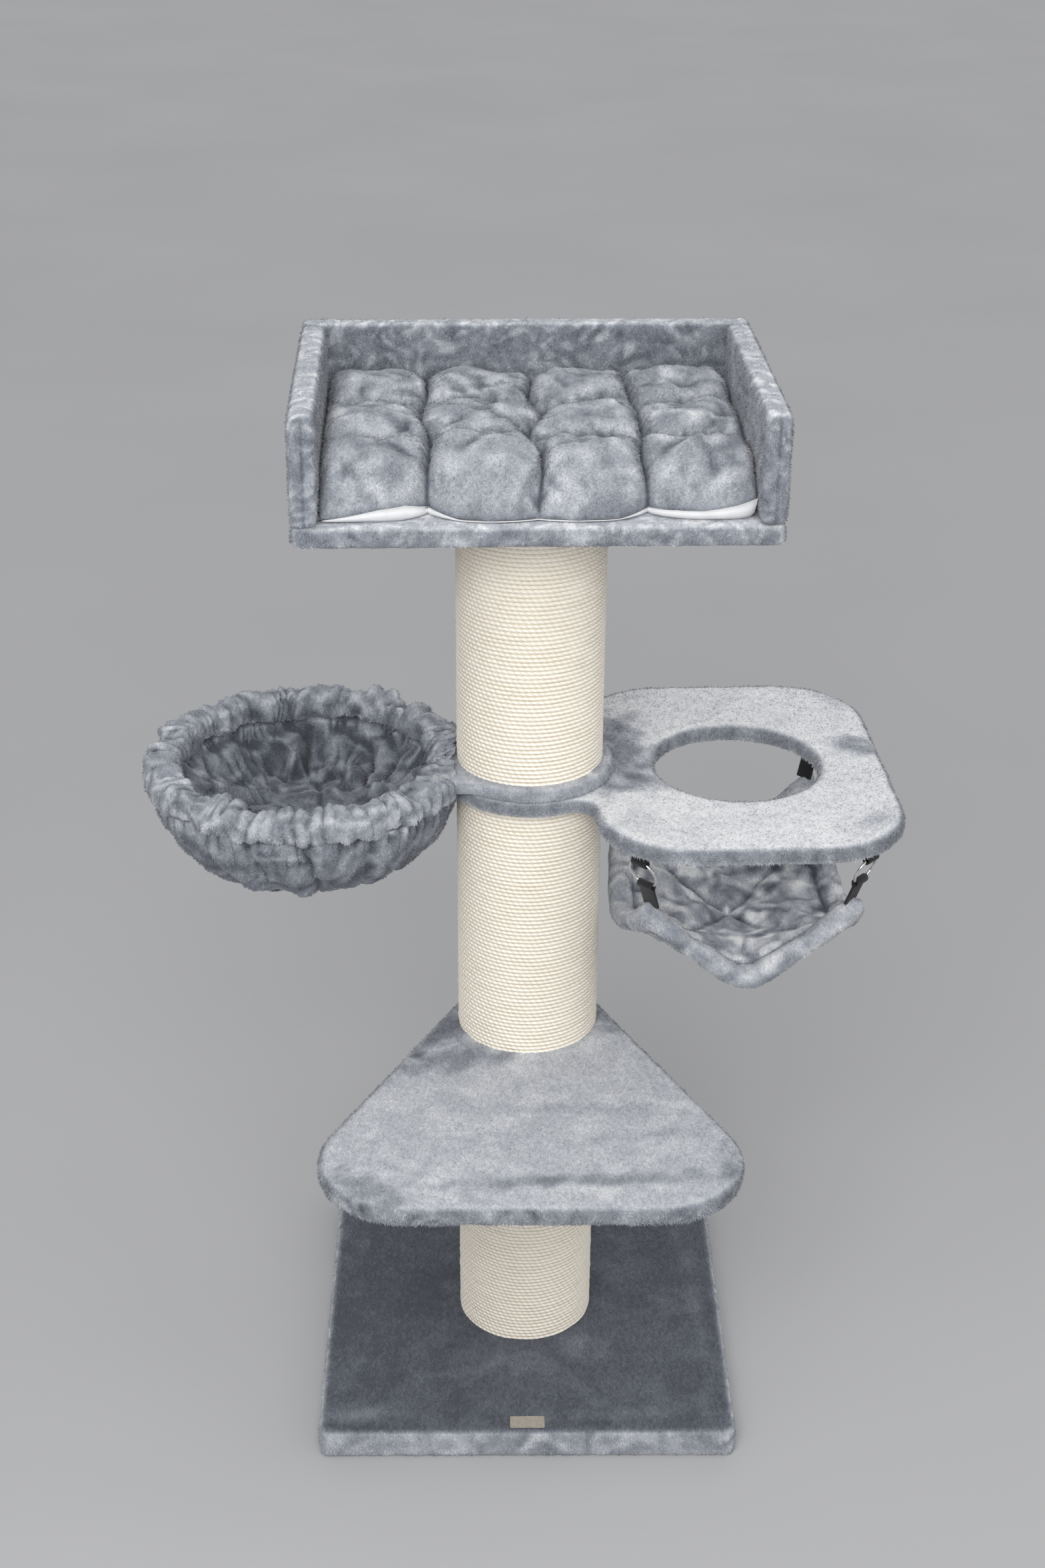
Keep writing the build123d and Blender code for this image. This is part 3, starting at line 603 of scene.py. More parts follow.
# %% The base
BASE_TOP_NAP_AND_SHADE, BASE_SIDE_NAP = 0.09, 0.54
BASE_SWIRL, BASE_MOTTLE, BASE_SIDE_MOTTLE, BASE_RIM_LIGHT = 90 * MM, 0.028, 0.08, 0.1
BASE_SMUDGES = [  # x and y, half length, half width, turn in degrees, strength
    (75, -118, 70, 34, 20, 0.12), (-30, -150, 110, 26, -8, 0.08), (-240, -262, 60, 18, 4, 0.20),
    (120, -262, 110, 14, 2, 0.10), (262, -40, 16, 180, 0, 0.08), (-200, 0, 130, 260, 0, -0.07)]
HEM_OPENING = 257.0
OPEN_LEVEL, BOLT_LEVEL = 6.0, 23.0
BOLT_CLEAR, BOLT_REACH = 27.0, 36.0
PLATE_Y, PLATE_HALF, PLATE_LEVEL = -279.0, (29.0, 16.0), 44.4


def base_nap(points, normals):
    """Dark top, from leaning pile and painted shade of the tree above, with faint smudges, and paler sides.
    """
    side = upright_share(normals)
    top = BASE_TOP_NAP_AND_SHADE + BASE_MOTTLE * mottled(points, 11, BASE_SWIRL) + brushed(points, 15, *BASE_SMUDGES)
    # Painted rim light on the sides turned away.
    edge = BASE_SIDE_NAP + BASE_SIDE_MOTTLE * mottled(points, 21) + BASE_RIM_LIGHT * rim_light_share(normals)
    return top * (1 - side) + edge * side


def open_hem(points, normals):
    """Points inside the hem move up into the bare board, and the cover is flat below the plate."""
    x, y, z = points.T / MM
    plate = (np.abs(x) < PLATE_HALF[0]) & (np.abs(y - PLATE_Y) < PLATE_HALF[1]) & (z > PLATE_LEVEL)
    z = np.where(plate, PLATE_LEVEL, z)
    reach = np.hypot(x, y)
    bolt = (reach < BOLT_REACH) & (z < BOLT_LEVEL)
    under = (np.maximum(np.abs(x), np.abs(y)) < HEM_OPENING) & (normals[:, 2] < -0.3) & (z < OPEN_LEVEL)
    scale = np.where(bolt, np.maximum(BOLT_CLEAR / np.maximum(reach, 1e-6), 1), 1)
    z = np.where(bolt, BOLT_LEVEL, np.where(under, OPEN_LEVEL, np.maximum(z, 0)))
    return np.stack([x * scale, y * scale, z], axis=-1) * MM


covers["base"] = make_cover("base_cover", "base_board", "base_plush", base_nap, 12, WIDE_SQUARE,
                            shape=open_hem)

# %% The platform
PLATFORM_TOP_NAP, PLATFORM_EDGE_NAP = 0.73, 0.38
PLATFORM_EDGE_MOTTLE, PLATFORM_RIM_LIGHT = 0.08, 0.2
PLATFORM_SMUDGES = [
    (-136, -34, 74, 50, 45, -0.48), (-96, -112, 92, 32, 12, -0.28), (-178, -150, 50, 22, 40, -0.16),
    (116, -8, 46, 30, -50, -0.34), (30, -236, 150, 14, 3, -0.08), (120, -300, 120, 16, 4, -0.07),
    (120, -392, 175, 15, 3, -0.22), (-20, -404, 160, 13, 2, -0.14), (-212, -424, 64, 34, -32, -0.28),
    (262, -372, 22, 46, 0, -0.20)]


def platform_nap(points, normals):
    """Silver, with dark brushed places by the post, streaks near the front and one dark corner."""
    top = PLATFORM_TOP_NAP + TOP_MOTTLE * mottled(points, 31, TOP_SWIRL)
    top = top + brushed(points, 35, *PLATFORM_SMUDGES)
    # Painted shade on the underside, and painted rim light on the faces turned away.
    edge = PLATFORM_EDGE_NAP + PLATFORM_EDGE_MOTTLE * mottled(points, 41) - BELOW_SHADE * underside(normals)
    return shaded(normals, top, edge + PLATFORM_RIM_LIGHT * rim_light_share(normals))


covers["platform"] = make_cover("platform_cover", "platform_board", "platform_plush", platform_nap, 32,
                                swell=0.8 * MM)

# %% The holed board
BOARD_TOP_NAP, BOARD_EDGE_NAP, BOARD_FRINGE = 0.93, 0.38, 0.30
BOARD_EDGE_MOTTLE, BOARD_RIM_LIGHT = 0.06, 0.24
BOARD_SMUDGES = [
    (128, 40, 60, 70, 10, -0.54), (158, -42, 74, 36, 20, -0.46), (112, 128, 56, 44, 30, -0.40),
    (462, 62, 46, 34, -20, -0.46), (455, 220, 50, 26, -35, -0.16), (455, -160, 34, 22, 30, -0.20)]
FRINGE_HEIGHT = (2 * MM, 9 * MM)
PRESSED, PRESSED_FADE, THICKER = 118 * MM, 40 * MM, 2.4 * MM


def board_nap(points, normals):
    """Almost white, with smoke-like dark places by the post and at the right, and a blue-grey edge."""
    top = BOARD_TOP_NAP + TOP_MOTTLE * mottled(points, 51, TOP_SWIRL) + brushed(points, 55, *BOARD_SMUDGES)
    low = points[:, 2].min()
    fringe = 1 - smooth(low + FRINGE_HEIGHT[0], low + FRINGE_HEIGHT[1], points[:, 2])
    edge = BOARD_EDGE_NAP + BOARD_EDGE_MOTTLE * mottled(points, 61) + BOARD_FRINGE * fringe
    # Painted shade on the underside, and painted rim light on the faces turned away.
    edge = edge - BELOW_SHADE * underside(normals)
    return shaded(normals, top, edge + BOARD_RIM_LIGHT * rim_light_share(normals))


def thick_edge(points, normals):
    """The holed board's plush is thick, except where the post and the other arm press on it."""
    free = smooth(PRESSED, PRESSED + PRESSED_FADE, np.hypot(points[:, 0], points[:, 1]))
    return points + normals * (THICKER * free)[:, None]


covers["holed_board"] = make_cover("holed_board_cover", "holed_board", "holed_board_plush", board_nap, 52,
                                   swell=1.0 * MM, shape=thick_edge)

# %% The bed's floor and walls
BED_TURN = 1.5
END_SEAM, END_SEAM_DEPTH = 1.8 * MM, 1.2 * MM
BED_FLOOR_NAP, BED_WALL_NAP = 0.35, 0.29
WALL_SWIRL, WALL_BLUR = 26 * MM, 55 * MM
SWIRL_SHARE, BLUR_SHARE = 0.24, 0.06
TOP_SHARE, OUTER_SHARE, WALL_SEAM_SHADE = 0.36, 0.14, 0.16


def end_seam(points, normals):
    """1 on the seam that runs up the front end of a side wall, 0 elsewhere."""
    across = turned(points, -BED_TURN)[:, 0]
    middle = (across.min() + across.max()) / 2
    return (np.abs(across - middle) < END_SEAM) * smooth(0.5, 0.8, -normals[:, 1])


def pressed_seam(points, normals):
    """The side wall with its seam pressed in."""
    return points - normals * (END_SEAM_DEPTH * end_seam(points, normals))[:, None]


def wall_nap(seed, sewn, level):
    """Dark pile, many paler swirls, silver along the top and on the outer faces, and painted shade in the
    seam.
    """
    def nap_and_shade(points, normals):
        swirls = SWIRL_SHARE * smooth(-0.2, 1.9, mottled(points, seed, WALL_SWIRL))
        swirls = swirls + BLUR_SHARE * mottled(points, seed + 4, WALL_BLUR)
        up, out = smooth(0.4, 0.9, normals[:, 2]), np.maximum(np.abs(normals[:, 0]), normals[:, 1])
        seam = end_seam(points, normals) if sewn else 0
        return level + swirls + TOP_SHARE * up + OUTER_SHARE * out - WALL_SEAM_SHADE * seam
    return nap_and_shade


for k, part in enumerate(("floor", "back", "left", "right")):
    sewn, flat = part in ("left", "right"), part == "floor"
    nap_and_shade = wall_nap(80 + 10 * k, sewn, BED_FLOOR_NAP if flat else BED_WALL_NAP)
    covers[f"bed_{part}"] = make_cover(
        f"bed_{part}_cover", f"bed_{part}_board", f"bed_{part}_plush", nap_and_shade, 82 + 10 * k,
        WIDE_SQUARE if flat else SQUARE, shape=pressed_seam if sewn else None)

# %% [markdown]
# ## Rope round the posts
# Each post is wound with one thin rope, about six millimetres thick, loop on loop. The frame has a thicker
# rope with fewer loops, so here the loops are a ripple on a tube: the radius is a cosine of height and angle
# together, which makes it one helix. A round section carried along that helix would need more faces, and
# half of them would be hidden. The strands' twist is fine relief that follows the rope's own length.

# %% Wound posts
POST_RADIUS = 0.100
POST_BORE = 0.081
ROPE = 6.0 * MM
ROPE_RELIEF = 0.95 * MM
ROWS_IN_LOOP = 6
POST_COLUMNS = 112
UNEVEN, FINE_UNEVEN = 0.22 * MM, 0.12 * MM


def wound_post(name, seed):
    """Radius = post - relief x (1 + cosine of (height / rope - angle)) + unevenness, with an inner wall."""
    low, high = (corner.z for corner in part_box(name.replace("sisal", "tube")))
    rows = round((high - low) / ROPE * ROWS_IN_LOOP) + 1
    around = 2 * np.pi * np.arange(POST_COLUMNS) / POST_COLUMNS
    height, angle = np.meshgrid(np.linspace(low, high, rows), around, indexing="ij")
    loops = (height - low) / ROPE - angle / (2 * np.pi)
    place = np.stack([np.cos(angle) * POST_RADIUS, np.sin(angle) * POST_RADIUS, height], axis=-1)
    uneven = UNEVEN * waves(place * (1, 1, 3), 30 * MM, seed) + FINE_UNEVEN * waves(place, 9 * MM, seed + 1)
    radius = POST_RADIUS - ROPE_RELIEF - ROPE_RELIEF * np.cos(2 * np.pi * loops) + uneven
    bore = np.full((1, POST_COLUMNS), POST_BORE)
    radius = np.concatenate([bore, radius, bore])
    height = np.concatenate([height[:1], height, height[-1:]])
    angle = np.concatenate([angle[:1], angle, angle[-1:]])
    points = np.stack([np.cos(angle) * radius, np.sin(angle) * radius, height], axis=-1)
    faces = grid_faces(rows + 2, POST_COLUMNS, ring_rows=True, ring_columns=True)[:, ::-1]
    piece = new_piece(name.replace("sisal", "rope"), points, faces)
    column = faces % POST_COLUMNS
    last = (column.max(1) == POST_COLUMNS - 1) & (column.min(1) == 0)
    round_share = np.where(last[:, None] & (column == 0), POST_COLUMNS, column) / POST_COLUMNS
    rope_turn = (height.ravel()[faces] - low) / ROPE - round_share
    set_uv(piece, "rope", np.stack([round_share, rope_turn], axis=-1))
    dress(piece, sisal, "tree", "sisal", name)
    print(piece.name, rows // ROWS_IN_LOOP, "loops")


for k, post in enumerate(("lower", "middle", "upper")):
    wound_post(f"{post}_post_sisal", 201 + 10 * k)

# %% [markdown]
# Sisal is hairy: here and there a fibre stands out from the rope and catches the light at the post's edge.
# Blender's hair could grow them, but a few hundred bent threads from one array are plain mesh in every
# export. There are none where the hammock swings near the middle post.

# %% Loose fibres of the rope
HAIRS, HAIR_LENGTH, HAIR_HALF = 150, 16.0 * MM, 0.24 * MM
HAIR_RANGE = {"lower": (0, 360), "middle": (60, 300), "upper": (0, 360)}
HAIR_RINGS = 4
HAIR_LIFT, HAIR_START = (0.10, 0.34), 0.12
HAIR_ROOT, HAIR_END_ROOM = 1.2 * MM, 12 * MM
# The crest of a loop is clear of the painted shade in the grooves.
HAIR_PLACE = (0.0, 0.5)  # on the crest of a loop, where the rope is pale


def loose_fibres(post, seed):
    """Bent three-sided threads: place = root + along x share of the length + outwards x share squared."""
    random = np.random.default_rng(seed)
    low, high = (corner.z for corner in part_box(f"{post}_post_tube"))
    angle = np.radians(random.uniform(*HAIR_RANGE[post], HAIRS))
    out = np.stack([np.cos(angle), np.sin(angle), 0 * angle], axis=-1)
    round_way = np.stack([-np.sin(angle), np.cos(angle), 0 * angle], axis=-1)
    along = round_way * random.choice([-1, 1], (HAIRS, 1))
    along = along + np.array([0, 0, 1]) * random.normal(0, 0.5, (HAIRS, 1))
    length = HAIR_LENGTH * random.uniform(0.4, 1.0, (HAIRS, 1))
    lift = random.uniform(*HAIR_LIFT, (HAIRS, 1))
    root = out * (POST_RADIUS - HAIR_ROOT)
    root[:, 2] = random.uniform(low + HAIR_END_ROOM, high - HAIR_END_ROOM, HAIRS)
    share = np.linspace(0, 1, HAIR_RINGS)[:, None, None]
    path = root + share * length * along + length * out * (HAIR_START * share + lift * share * share)
    turn = np.arange(3) * 2 * math.pi / 3
    cross = np.cross(along, out)
    ring = out[:, None] * np.cos(turn)[:, None] + cross[:, None] * np.sin(turn)[:, None]
    width = HAIR_HALF * np.linspace(1, 0.25, HAIR_RINGS)[:, None, None, None]
    points = (path[:, :, None] + width * ring).transpose(1, 0, 2, 3).reshape(HAIRS, -1, 3)
    sides = grid_faces(HAIR_RINGS, 3, ring_columns=True)
    ends = np.array([[2, 1, 0], [3 * HAIR_RINGS - 3, 3 * HAIR_RINGS - 2, 3 * HAIR_RINGS - 1]])
    shape = np.concatenate([sides[:, [0, 1, 2]], sides[:, [0, 2, 3]], ends])
    faces = (shape[None] + 3 * HAIR_RINGS * np.arange(HAIRS)[:, None, None]).reshape(-1, 3)
    piece = new_piece(f"{post}_post_fibres", points, faces)
    close_seams(piece, MERGE / 100)
    set_uv(piece, "rope", np.tile(HAIR_PLACE, len(piece.data.loops)))
    dress(piece, sisal, "tree", "sisal")
    return len(faces)


print("loose fibres:", sum(loose_fibres(post, 231 + k) for k, post in enumerate(HAIR_RANGE)), "triangles")

# %% [markdown]
# ## Stuffed cloth
# The cushion and the hammock are two layers of cloth, sewn together along lines and filled. Blender's cloth
# can blow them up: the sewn lines are held, pressure pushes the rest outwards, and cloth that is a little
# too large for its frame wrinkles by itself, which no formula does as well.

# %% Two layers
def two_layers(name, top, bottom, held_top, held_bottom):
    """Two grids of the same size that meet at their outer edge, closed, with a mark on the held points."""
    rows, columns = top.shape[:2]
    faces = grid_faces(rows, columns)
    faces = np.concatenate([faces, faces[:, ::-1] + rows * columns])
    piece = new_piece(name, np.concatenate([top.reshape(-1, 3), bottom.reshape(-1, 3)]), faces)
    set_attribute(piece.data, "held", np.concatenate([held_top.ravel(), held_bottom.ravel()]))
    close_seams(piece)
    return piece


def held_share(mesh, rounds=0):
    """1 on the held points and 0 elsewhere, spread to the points beside them by rounds of averaging."""
    held = np.empty(len(mesh.vertices), np.float32)
    mesh.attributes["held"].data.foreach_get("value", held)
    return averaged(mesh, held[:, None], rounds)[:, 0]


def grid_normals(points):
    """Upward directions of a grid surface, from the slopes along its rows and columns."""
    normals = np.cross(np.gradient(points, axis=1), np.gradient(points, axis=0))
    return normals / np.linalg.norm(normals, axis=-1, keepdims=True)


level_grid = np.stack([*np.meshgrid([0, 1], [0, 1]), np.zeros((2, 2))], axis=-1)
print("a level grid faces", grid_normals(level_grid)[0, 0])

# %% Pressure and wrinkles
CLOTH_STEPS = 22
CLOTH = {"quality": 5, "mass": 0.12, "tension_stiffness": 14, "compression_stiffness": 14,
         "shear_stiffness": 5, "air_damping": 2, "vertex_group_mass": "held", "use_pressure": True}
SEAM_SHADE_ROUNDS = 2


def puff(piece, pressure, slack, cap, bending):
    """Blows a closed cloth up between its held points. No point moves further than about cap."""
    group = piece.vertex_groups.new(name="held")
    group.add(np.flatnonzero(held_share(piece.data) > 0.5).tolist(), 1.0, "REPLACE")
    cloth = piece.modifiers.new("cloth", "CLOTH").settings
    settings = dict(CLOTH, bending_stiffness=bending, uniform_pressure_force=pressure, shrink_min=-slack)
    for key, value in settings.items():
        setattr(cloth, key, value)
    cloth.effector_weights.gravity = 0
    before = read(piece.data)
    for step in range(1, CLOTH_STEPS + 1):
        scene.frame_set(step)
    swollen = bpy.data.meshes.new_from_object(piece.evaluated_get(bpy.context.evaluated_depsgraph_get()))
    moved = read(swollen) - before
    bpy.data.meshes.remove(swollen)
    reach = np.maximum(np.linalg.norm(moved, axis=1, keepdims=True), 1e-9)
    piece.modifiers.clear()
    piece.vertex_groups.clear()
    write(piece.data, before + moved * (cap * np.tanh(reach / cap) / reach))
    scene.frame_set(1)
    print(piece.name, "swelled by up to", round(float(reach.max()) / MM, 1), "mm")


def brush_cloth(piece, shade, seed, fine=0.3 * MM):
    """Writes the nap of a soft piece and makes its pile uneven."""
    set_attribute(piece.data, "nap_and_shade", np.clip(shade, 0, 1))
    write(piece.data, ruffle(read(piece.data), read(piece.data, "normal"), seed, 0.5 * MM, fine))


def add_subdivision(piece):
    """One live level of subdivision, the same in the view and in the render."""
    rounder = piece.modifiers.new("rounder", "SUBSURF")
    rounder.levels = 1
    rounder.render_levels = 1


print("cloth is blown up in", CLOTH_STEPS, "steps")

# %% [markdown]
# ## The cushion
# A loose quilt of four columns and three rows lies in the bed. Its cells are plump, its seams deep and not
# quite straight, and its front edge is drawn in at each seam. White lining shows where the outer cells of
# the front row lift off the floor. It could be sculpted by hand. Here a formula gives seams, cells and large
# creases, which can be moved by their numbers, and the cloth adds the small wrinkles.

# %% The cushion's plan
BED_FLOOR_TOP = 1391.3
CUSHION_HALF = 269.0
CUSHION_FRONT, CUSHION_BACK = -209.0, 184.0
COLUMNS, ROWS, CELL_STEPS = 4, 3, 24
DRAWN_IN = (8.0, 40.0, 12.0, 36.0, 16.0)  # at the front end of each column seam
DRAWN_WIDTH = 0.2
SEAM_WANDER_X, SEAM_WANDER_Y, SIDE_DRAWN = 5, 7, 4


def cushion_plan():
    """Places across (0 to 4 columns) and deep (0 to 3 rows), and x and y in plan, drawn in at the seams."""
    deep, across = np.meshgrid(np.arange(ROWS * CELL_STEPS + 1) / CELL_STEPS,
                               np.arange(COLUMNS * CELL_STEPS + 1) / CELL_STEPS, indexing="ij")
    x = (across / COLUMNS * 2 - 1) * CUSHION_HALF
    y = CUSHION_FRONT + (CUSHION_BACK - CUSHION_FRONT) * deep / ROWS
    drawn = sum(length * np.exp(-np.abs(across - seam) / DRAWN_WIDTH) for seam, length in enumerate(DRAWN_IN))
    bulge_y = np.abs(np.sin(np.pi * deep)) ** 0.5
    front, side = (1 - deep / ROWS) ** 4, np.abs(x / CUSHION_HALF) ** 6
    plan = np.stack([x, y], axis=-1)
    inner = (1 - (deep / ROWS * 2 - 1) ** 8) * (1 - side)
    y = y + drawn * front + SEAM_WANDER_Y * waves(plan, 170, 301) * inner
    x = x - np.sign(x) * SIDE_DRAWN * (1 - bulge_y) * side + SEAM_WANDER_X * waves(plan, 190, 302) * inner
    return across, deep, x, y


print("cushion:", COLUMNS, "by", ROWS, "cells,", 2 * CUSHION_HALF, "by", CUSHION_BACK - CUSHION_FRONT, "mm")

# %% Cells, gathers and creases
COLUMN_POWERS, ROW_POWERS = (5.2, 0.42), (3.0, 0.55)
CELL_SIZE = 132
CREASES = [  # from x and y to x and y, depth and width
    (-118, 42, -62, -22, 7, 8), (-92, 46, -36, 18, 6, 7), (-62, -8, -12, -58, 7, 8),
    (-78, -38, -30, -68, 6, 7), (-70, -86, -22, -112, 6, 8), (-50, -90, -96, -124, 5, 8),
    (216, -84, 208, -196, 7, 9), (150, -194, 186, -166, 6, 8), (-158, -196, -186, -158, 6, 8),
    (108, -158, 128, -198, 6, 7), (40, -204, 20, -174, 6, 7), (22, 152, 46, 82, 6, 9),
    (-210, -206, -222, -168, 5, 7), (-226, 10, -160, -20, 5, 8), (-40, -206, -54, -170, 5, 7),
    (170, 30, 236, 2, 6, 8), (88, 44, 118, 8, 5, 7), (-168, 150, -146, 84, 5, 8)]
CREASE_SHARE, RIDGE_SHARE = 0.6, 0.7


def cell_crown(place, flatness, steepness):
    """0 at the seams, 1 in mid-cell: 1 minus a power of the way to the seam, to another power."""
    off = np.abs(2 * (place % 1) - 1)
    return (1 - off ** flatness) ** steepness


def creased(x, y):
    """Folds: along each line, a valley with a soft ridge beside it, fading out at the line's ends."""
    total = np.zeros_like(x)
    for x0, y0, x1, y1, depth, width in CREASES:
        length = math.hypot(x1 - x0, y1 - y0)
        along = ((x - x0) * (x1 - x0) + (y - y0) * (y1 - y0)) / length
        off = ((y - y0) * (x1 - x0) - (x - x0) * (y1 - y0)) / length + 4 * np.sin(along / length * 5)
        ends = smooth(-6, 10, along) * smooth(length + 6, length - 10, along)
        ridge = np.exp(-((off - 1.4 * width) / width) ** 2)
        valley = np.exp(-(off / (0.6 * width)) ** 2)
        total += CREASE_SHARE * ends * depth * (RIDGE_SHARE * ridge - valley)
    return total


def gathered(along, place, plan, seed, height, length, reach):
    """Small waves along a seam, which fade with the way from it: height x sine x a falling exponential."""
    off = np.abs(place - np.round(place)) * CELL_SIZE
    return height * np.sin(2 * np.pi * along / length + 2 * waves(plan, 60, seed)) * np.exp(-off / reach)


print("creases:", len(CREASES))

# %% The cushion's two layers
COLUMN_SEAM, ROW_SEAM, CELL_CROWN = 41.0, 7.0, 26.0
BACK_RISE = 12.0
SIDE_EDGE, FRONT_ROUND, SIDE_ROUND, LOW_ROUND = 18.0, 92.0, 18.0, 9.0
UNDERSIDE = 3.0
FRONT_EDGE_AT = (0.0, 0.25, 0.55, 0.8, 1.0, 1.3, 2.0, 2.7, 3.0, 3.25, 3.5, 3.8, 4.0)
FRONT_EDGE = (6.0, 12.0, 20.0, 22.0, 12.0, 5.0, 4.0, 5.0, 11.0, 15.0, 16.0, 22.0, 28.0)
COLUMN_GATHER, ROW_GATHER = (3.4, 19, 20), (2.8, 23, 17)  # height, length and reach
LUMP, SMALL_LUMP = 2.4, 0.8


def cushion_layers():
    """Heights over the bed's floor: plump cells above, a flat underside, and the rim where they meet."""
    across, deep, x, y = cushion_plan()
    column, row = cell_crown(across, *COLUMN_POWERS), cell_crown(deep, *ROW_POWERS)
    inside = np.minimum.reduce([across, COLUMNS - across, deep, ROWS - deep]) * 2 * CUSHION_HALF / COLUMNS
    rim = inside == 0
    edge = np.where(deep < 0.5, np.interp(across, FRONT_EDGE_AT, FRONT_EDGE), SIDE_EDGE)
    plan = np.stack([x, y], axis=-1)
    gathers = gathered(y, across, plan, 303, *COLUMN_GATHER) * row
    gathers = gathers + gathered(x, deep, plan, 304, *ROW_GATHER) * column
    lumps = LUMP * waves(plan, 75, 305) + SMALL_LUMP * waves(plan, 30, 306)
    top = COLUMN_SEAM + BACK_RISE * deep / ROWS + column * (ROW_SEAM + CELL_CROWN * row) + gathers
    top = top + (lumps + creased(x, y)) * column ** 0.5 * row ** 0.5
    depth = deep * (CUSHION_BACK - CUSHION_FRONT) / ROWS
    bow = (1 - (1 - np.minimum(inside / SIDE_ROUND, 1)) ** 2.4) ** 0.6
    top = edge + (top - edge) * bow * (1 - (1 - np.minimum(depth / FRONT_ROUND, 1)) ** 2) ** 0.7
    low = UNDERSIDE + (edge - UNDERSIDE) * (1 - np.minimum(inside / LOW_ROUND, 1)) ** 1.5
    held = rim | (across % 1 == 0) | (deep % 1 == 0)
    top, low = (np.stack([x, y, BED_FLOOR_TOP + z], axis=-1) * MM for z in (top, low))
    return turned(top, BED_TURN), turned(low, BED_TURN), held, rim


cushion_top, cushion_low, cushion_held, cushion_rim = cushion_layers()
cushion_height = float(cushion_top[..., 2].max()) / MM - BED_FLOOR_TOP
print("cushion:", round(cushion_height), "mm high before it swells")

# %% Quilted cushion and its lining
CUSHION_PUFF = {"pressure": 1.6, "slack": 0.06, "cap": 8 * MM, "bending": 1.0}
CUSHION_NAP, CUSHION_MOTTLE, CUSHION_FOLD_SHADE, CUSHION_SEAM_SHADE = 0.53, 0.08, 0.36, 0.30
LINING_RIM, LINING_LAYERS = 1.3, (0.6, 2.0)


def cushion_pad(top, low, held):
    """The filled pad: its cells swell between the held seams, and its underside stays flat."""
    piece = two_layers("cushion", top, low, held, np.ones_like(held))
    puff(piece, **CUSHION_PUFF)
    shade = CUSHION_NAP + CUSHION_MOTTLE * mottled(read(piece.data), 310, 60 * MM)
    # Painted shade in the folds and along the sewn seams, and a painted highlight on ridges.
    shade = shade + CUSHION_FOLD_SHADE * fold_shade(piece.data, 14, 1.9 * MM)
    brush_cloth(piece, shade - CUSHION_SEAM_SHADE * held_share(piece.data, SEAM_SHADE_ROUNDS), 312)
    add_subdivision(piece)
    dress(piece, plush, "cushion", "plush", "cushion_pad")
    return piece


def cushion_lining(low, rim):
    """The white underside: two thin layers just outside the pad's own underside."""
    down = -grid_normals(low)
    layers = [low + down * np.where(rim, LINING_RIM, depth)[..., None] * MM for depth in LINING_LAYERS]
    piece = two_layers("cushion_lining_cloth", *layers, rim, rim)
    dress(piece, finishes["lining"], "cushion", "lining", "cushion_lining")
    print("lining:", len(piece.data.polygons), "faces")


cushion = cushion_pad(cushion_top, cushion_low, cushion_held)
cushion_lining(cushion_low, cushion_rim)

# %% [markdown]
# ## The hammock
# A square padded cloth hangs from its four corners, so its edges sag into a V. Two seams cross from corner
# to corner, and a bound edge runs round it. A falling cloth would find its own sag, but the straps have to
# meet the corners, so the middle surface is a formula like the frame's, with a sharper valley: its sides
# rise to the corners. Pressure puffs the four quarters and the edge between their seams.

# %% The hammock's valley
BOARD_TURN = 2.4
HAMMOCK_X = 285.5
CORNER_HALF, SIDE_HALF, HALF_DEPTH = 146.0, 172.0, 200.0
CORNER_Z, SIDE_Z, FRONT_Z, VALLEY_Z = 866.0, 750.0, 737.0, 725.0
SAG_POWER = 1.6
VALLEY_ROUND = 24.0
HALF_THICK = 7.0


def hammock_middle(a, b):
    """Across a and deep b, from -1 to 1: a valley that widens and sinks towards the middle."""
    out = np.abs(b) ** SAG_POWER
    half = SIDE_HALF + (CORNER_HALF - SIDE_HALF) * out
    edge, valley = SIDE_Z + (CORNER_Z - SIDE_Z) * out, VALLEY_Z + (FRONT_Z - VALLEY_Z) * out
    bow = np.hypot(a * half, VALLEY_ROUND) - VALLEY_ROUND
    bow /= np.hypot(half, VALLEY_ROUND) - VALLEY_ROUND
    height = valley + (edge - valley) * bow - HALF_THICK
    return np.stack([HAMMOCK_X + a * half, b * HALF_DEPTH, height], axis=-1) * MM


print("the hammock's lowest point is at", hammock_middle(np.array(0.0), np.array(0.0))[2] / MM, "mm")

# %% The hammock's two layers
HAMMOCK_STEPS, HAMMOCK_EDGE = 84, 9
PILLOW, ROLL_HALF, SEAM_HALF = 13.0, 12.0, 1.5
CROSS_STEEP, EDGE_STEEP = 2.5, 3.5
HAMMOCK_LUMP, HAMMOCK_SMALL_LUMP = 2.4, 0.5


def arch(share):
    """0 at 0, and a round rise to 1 at 1."""
    return 1 - (1 - np.clip(share, 0, 1)) ** 2


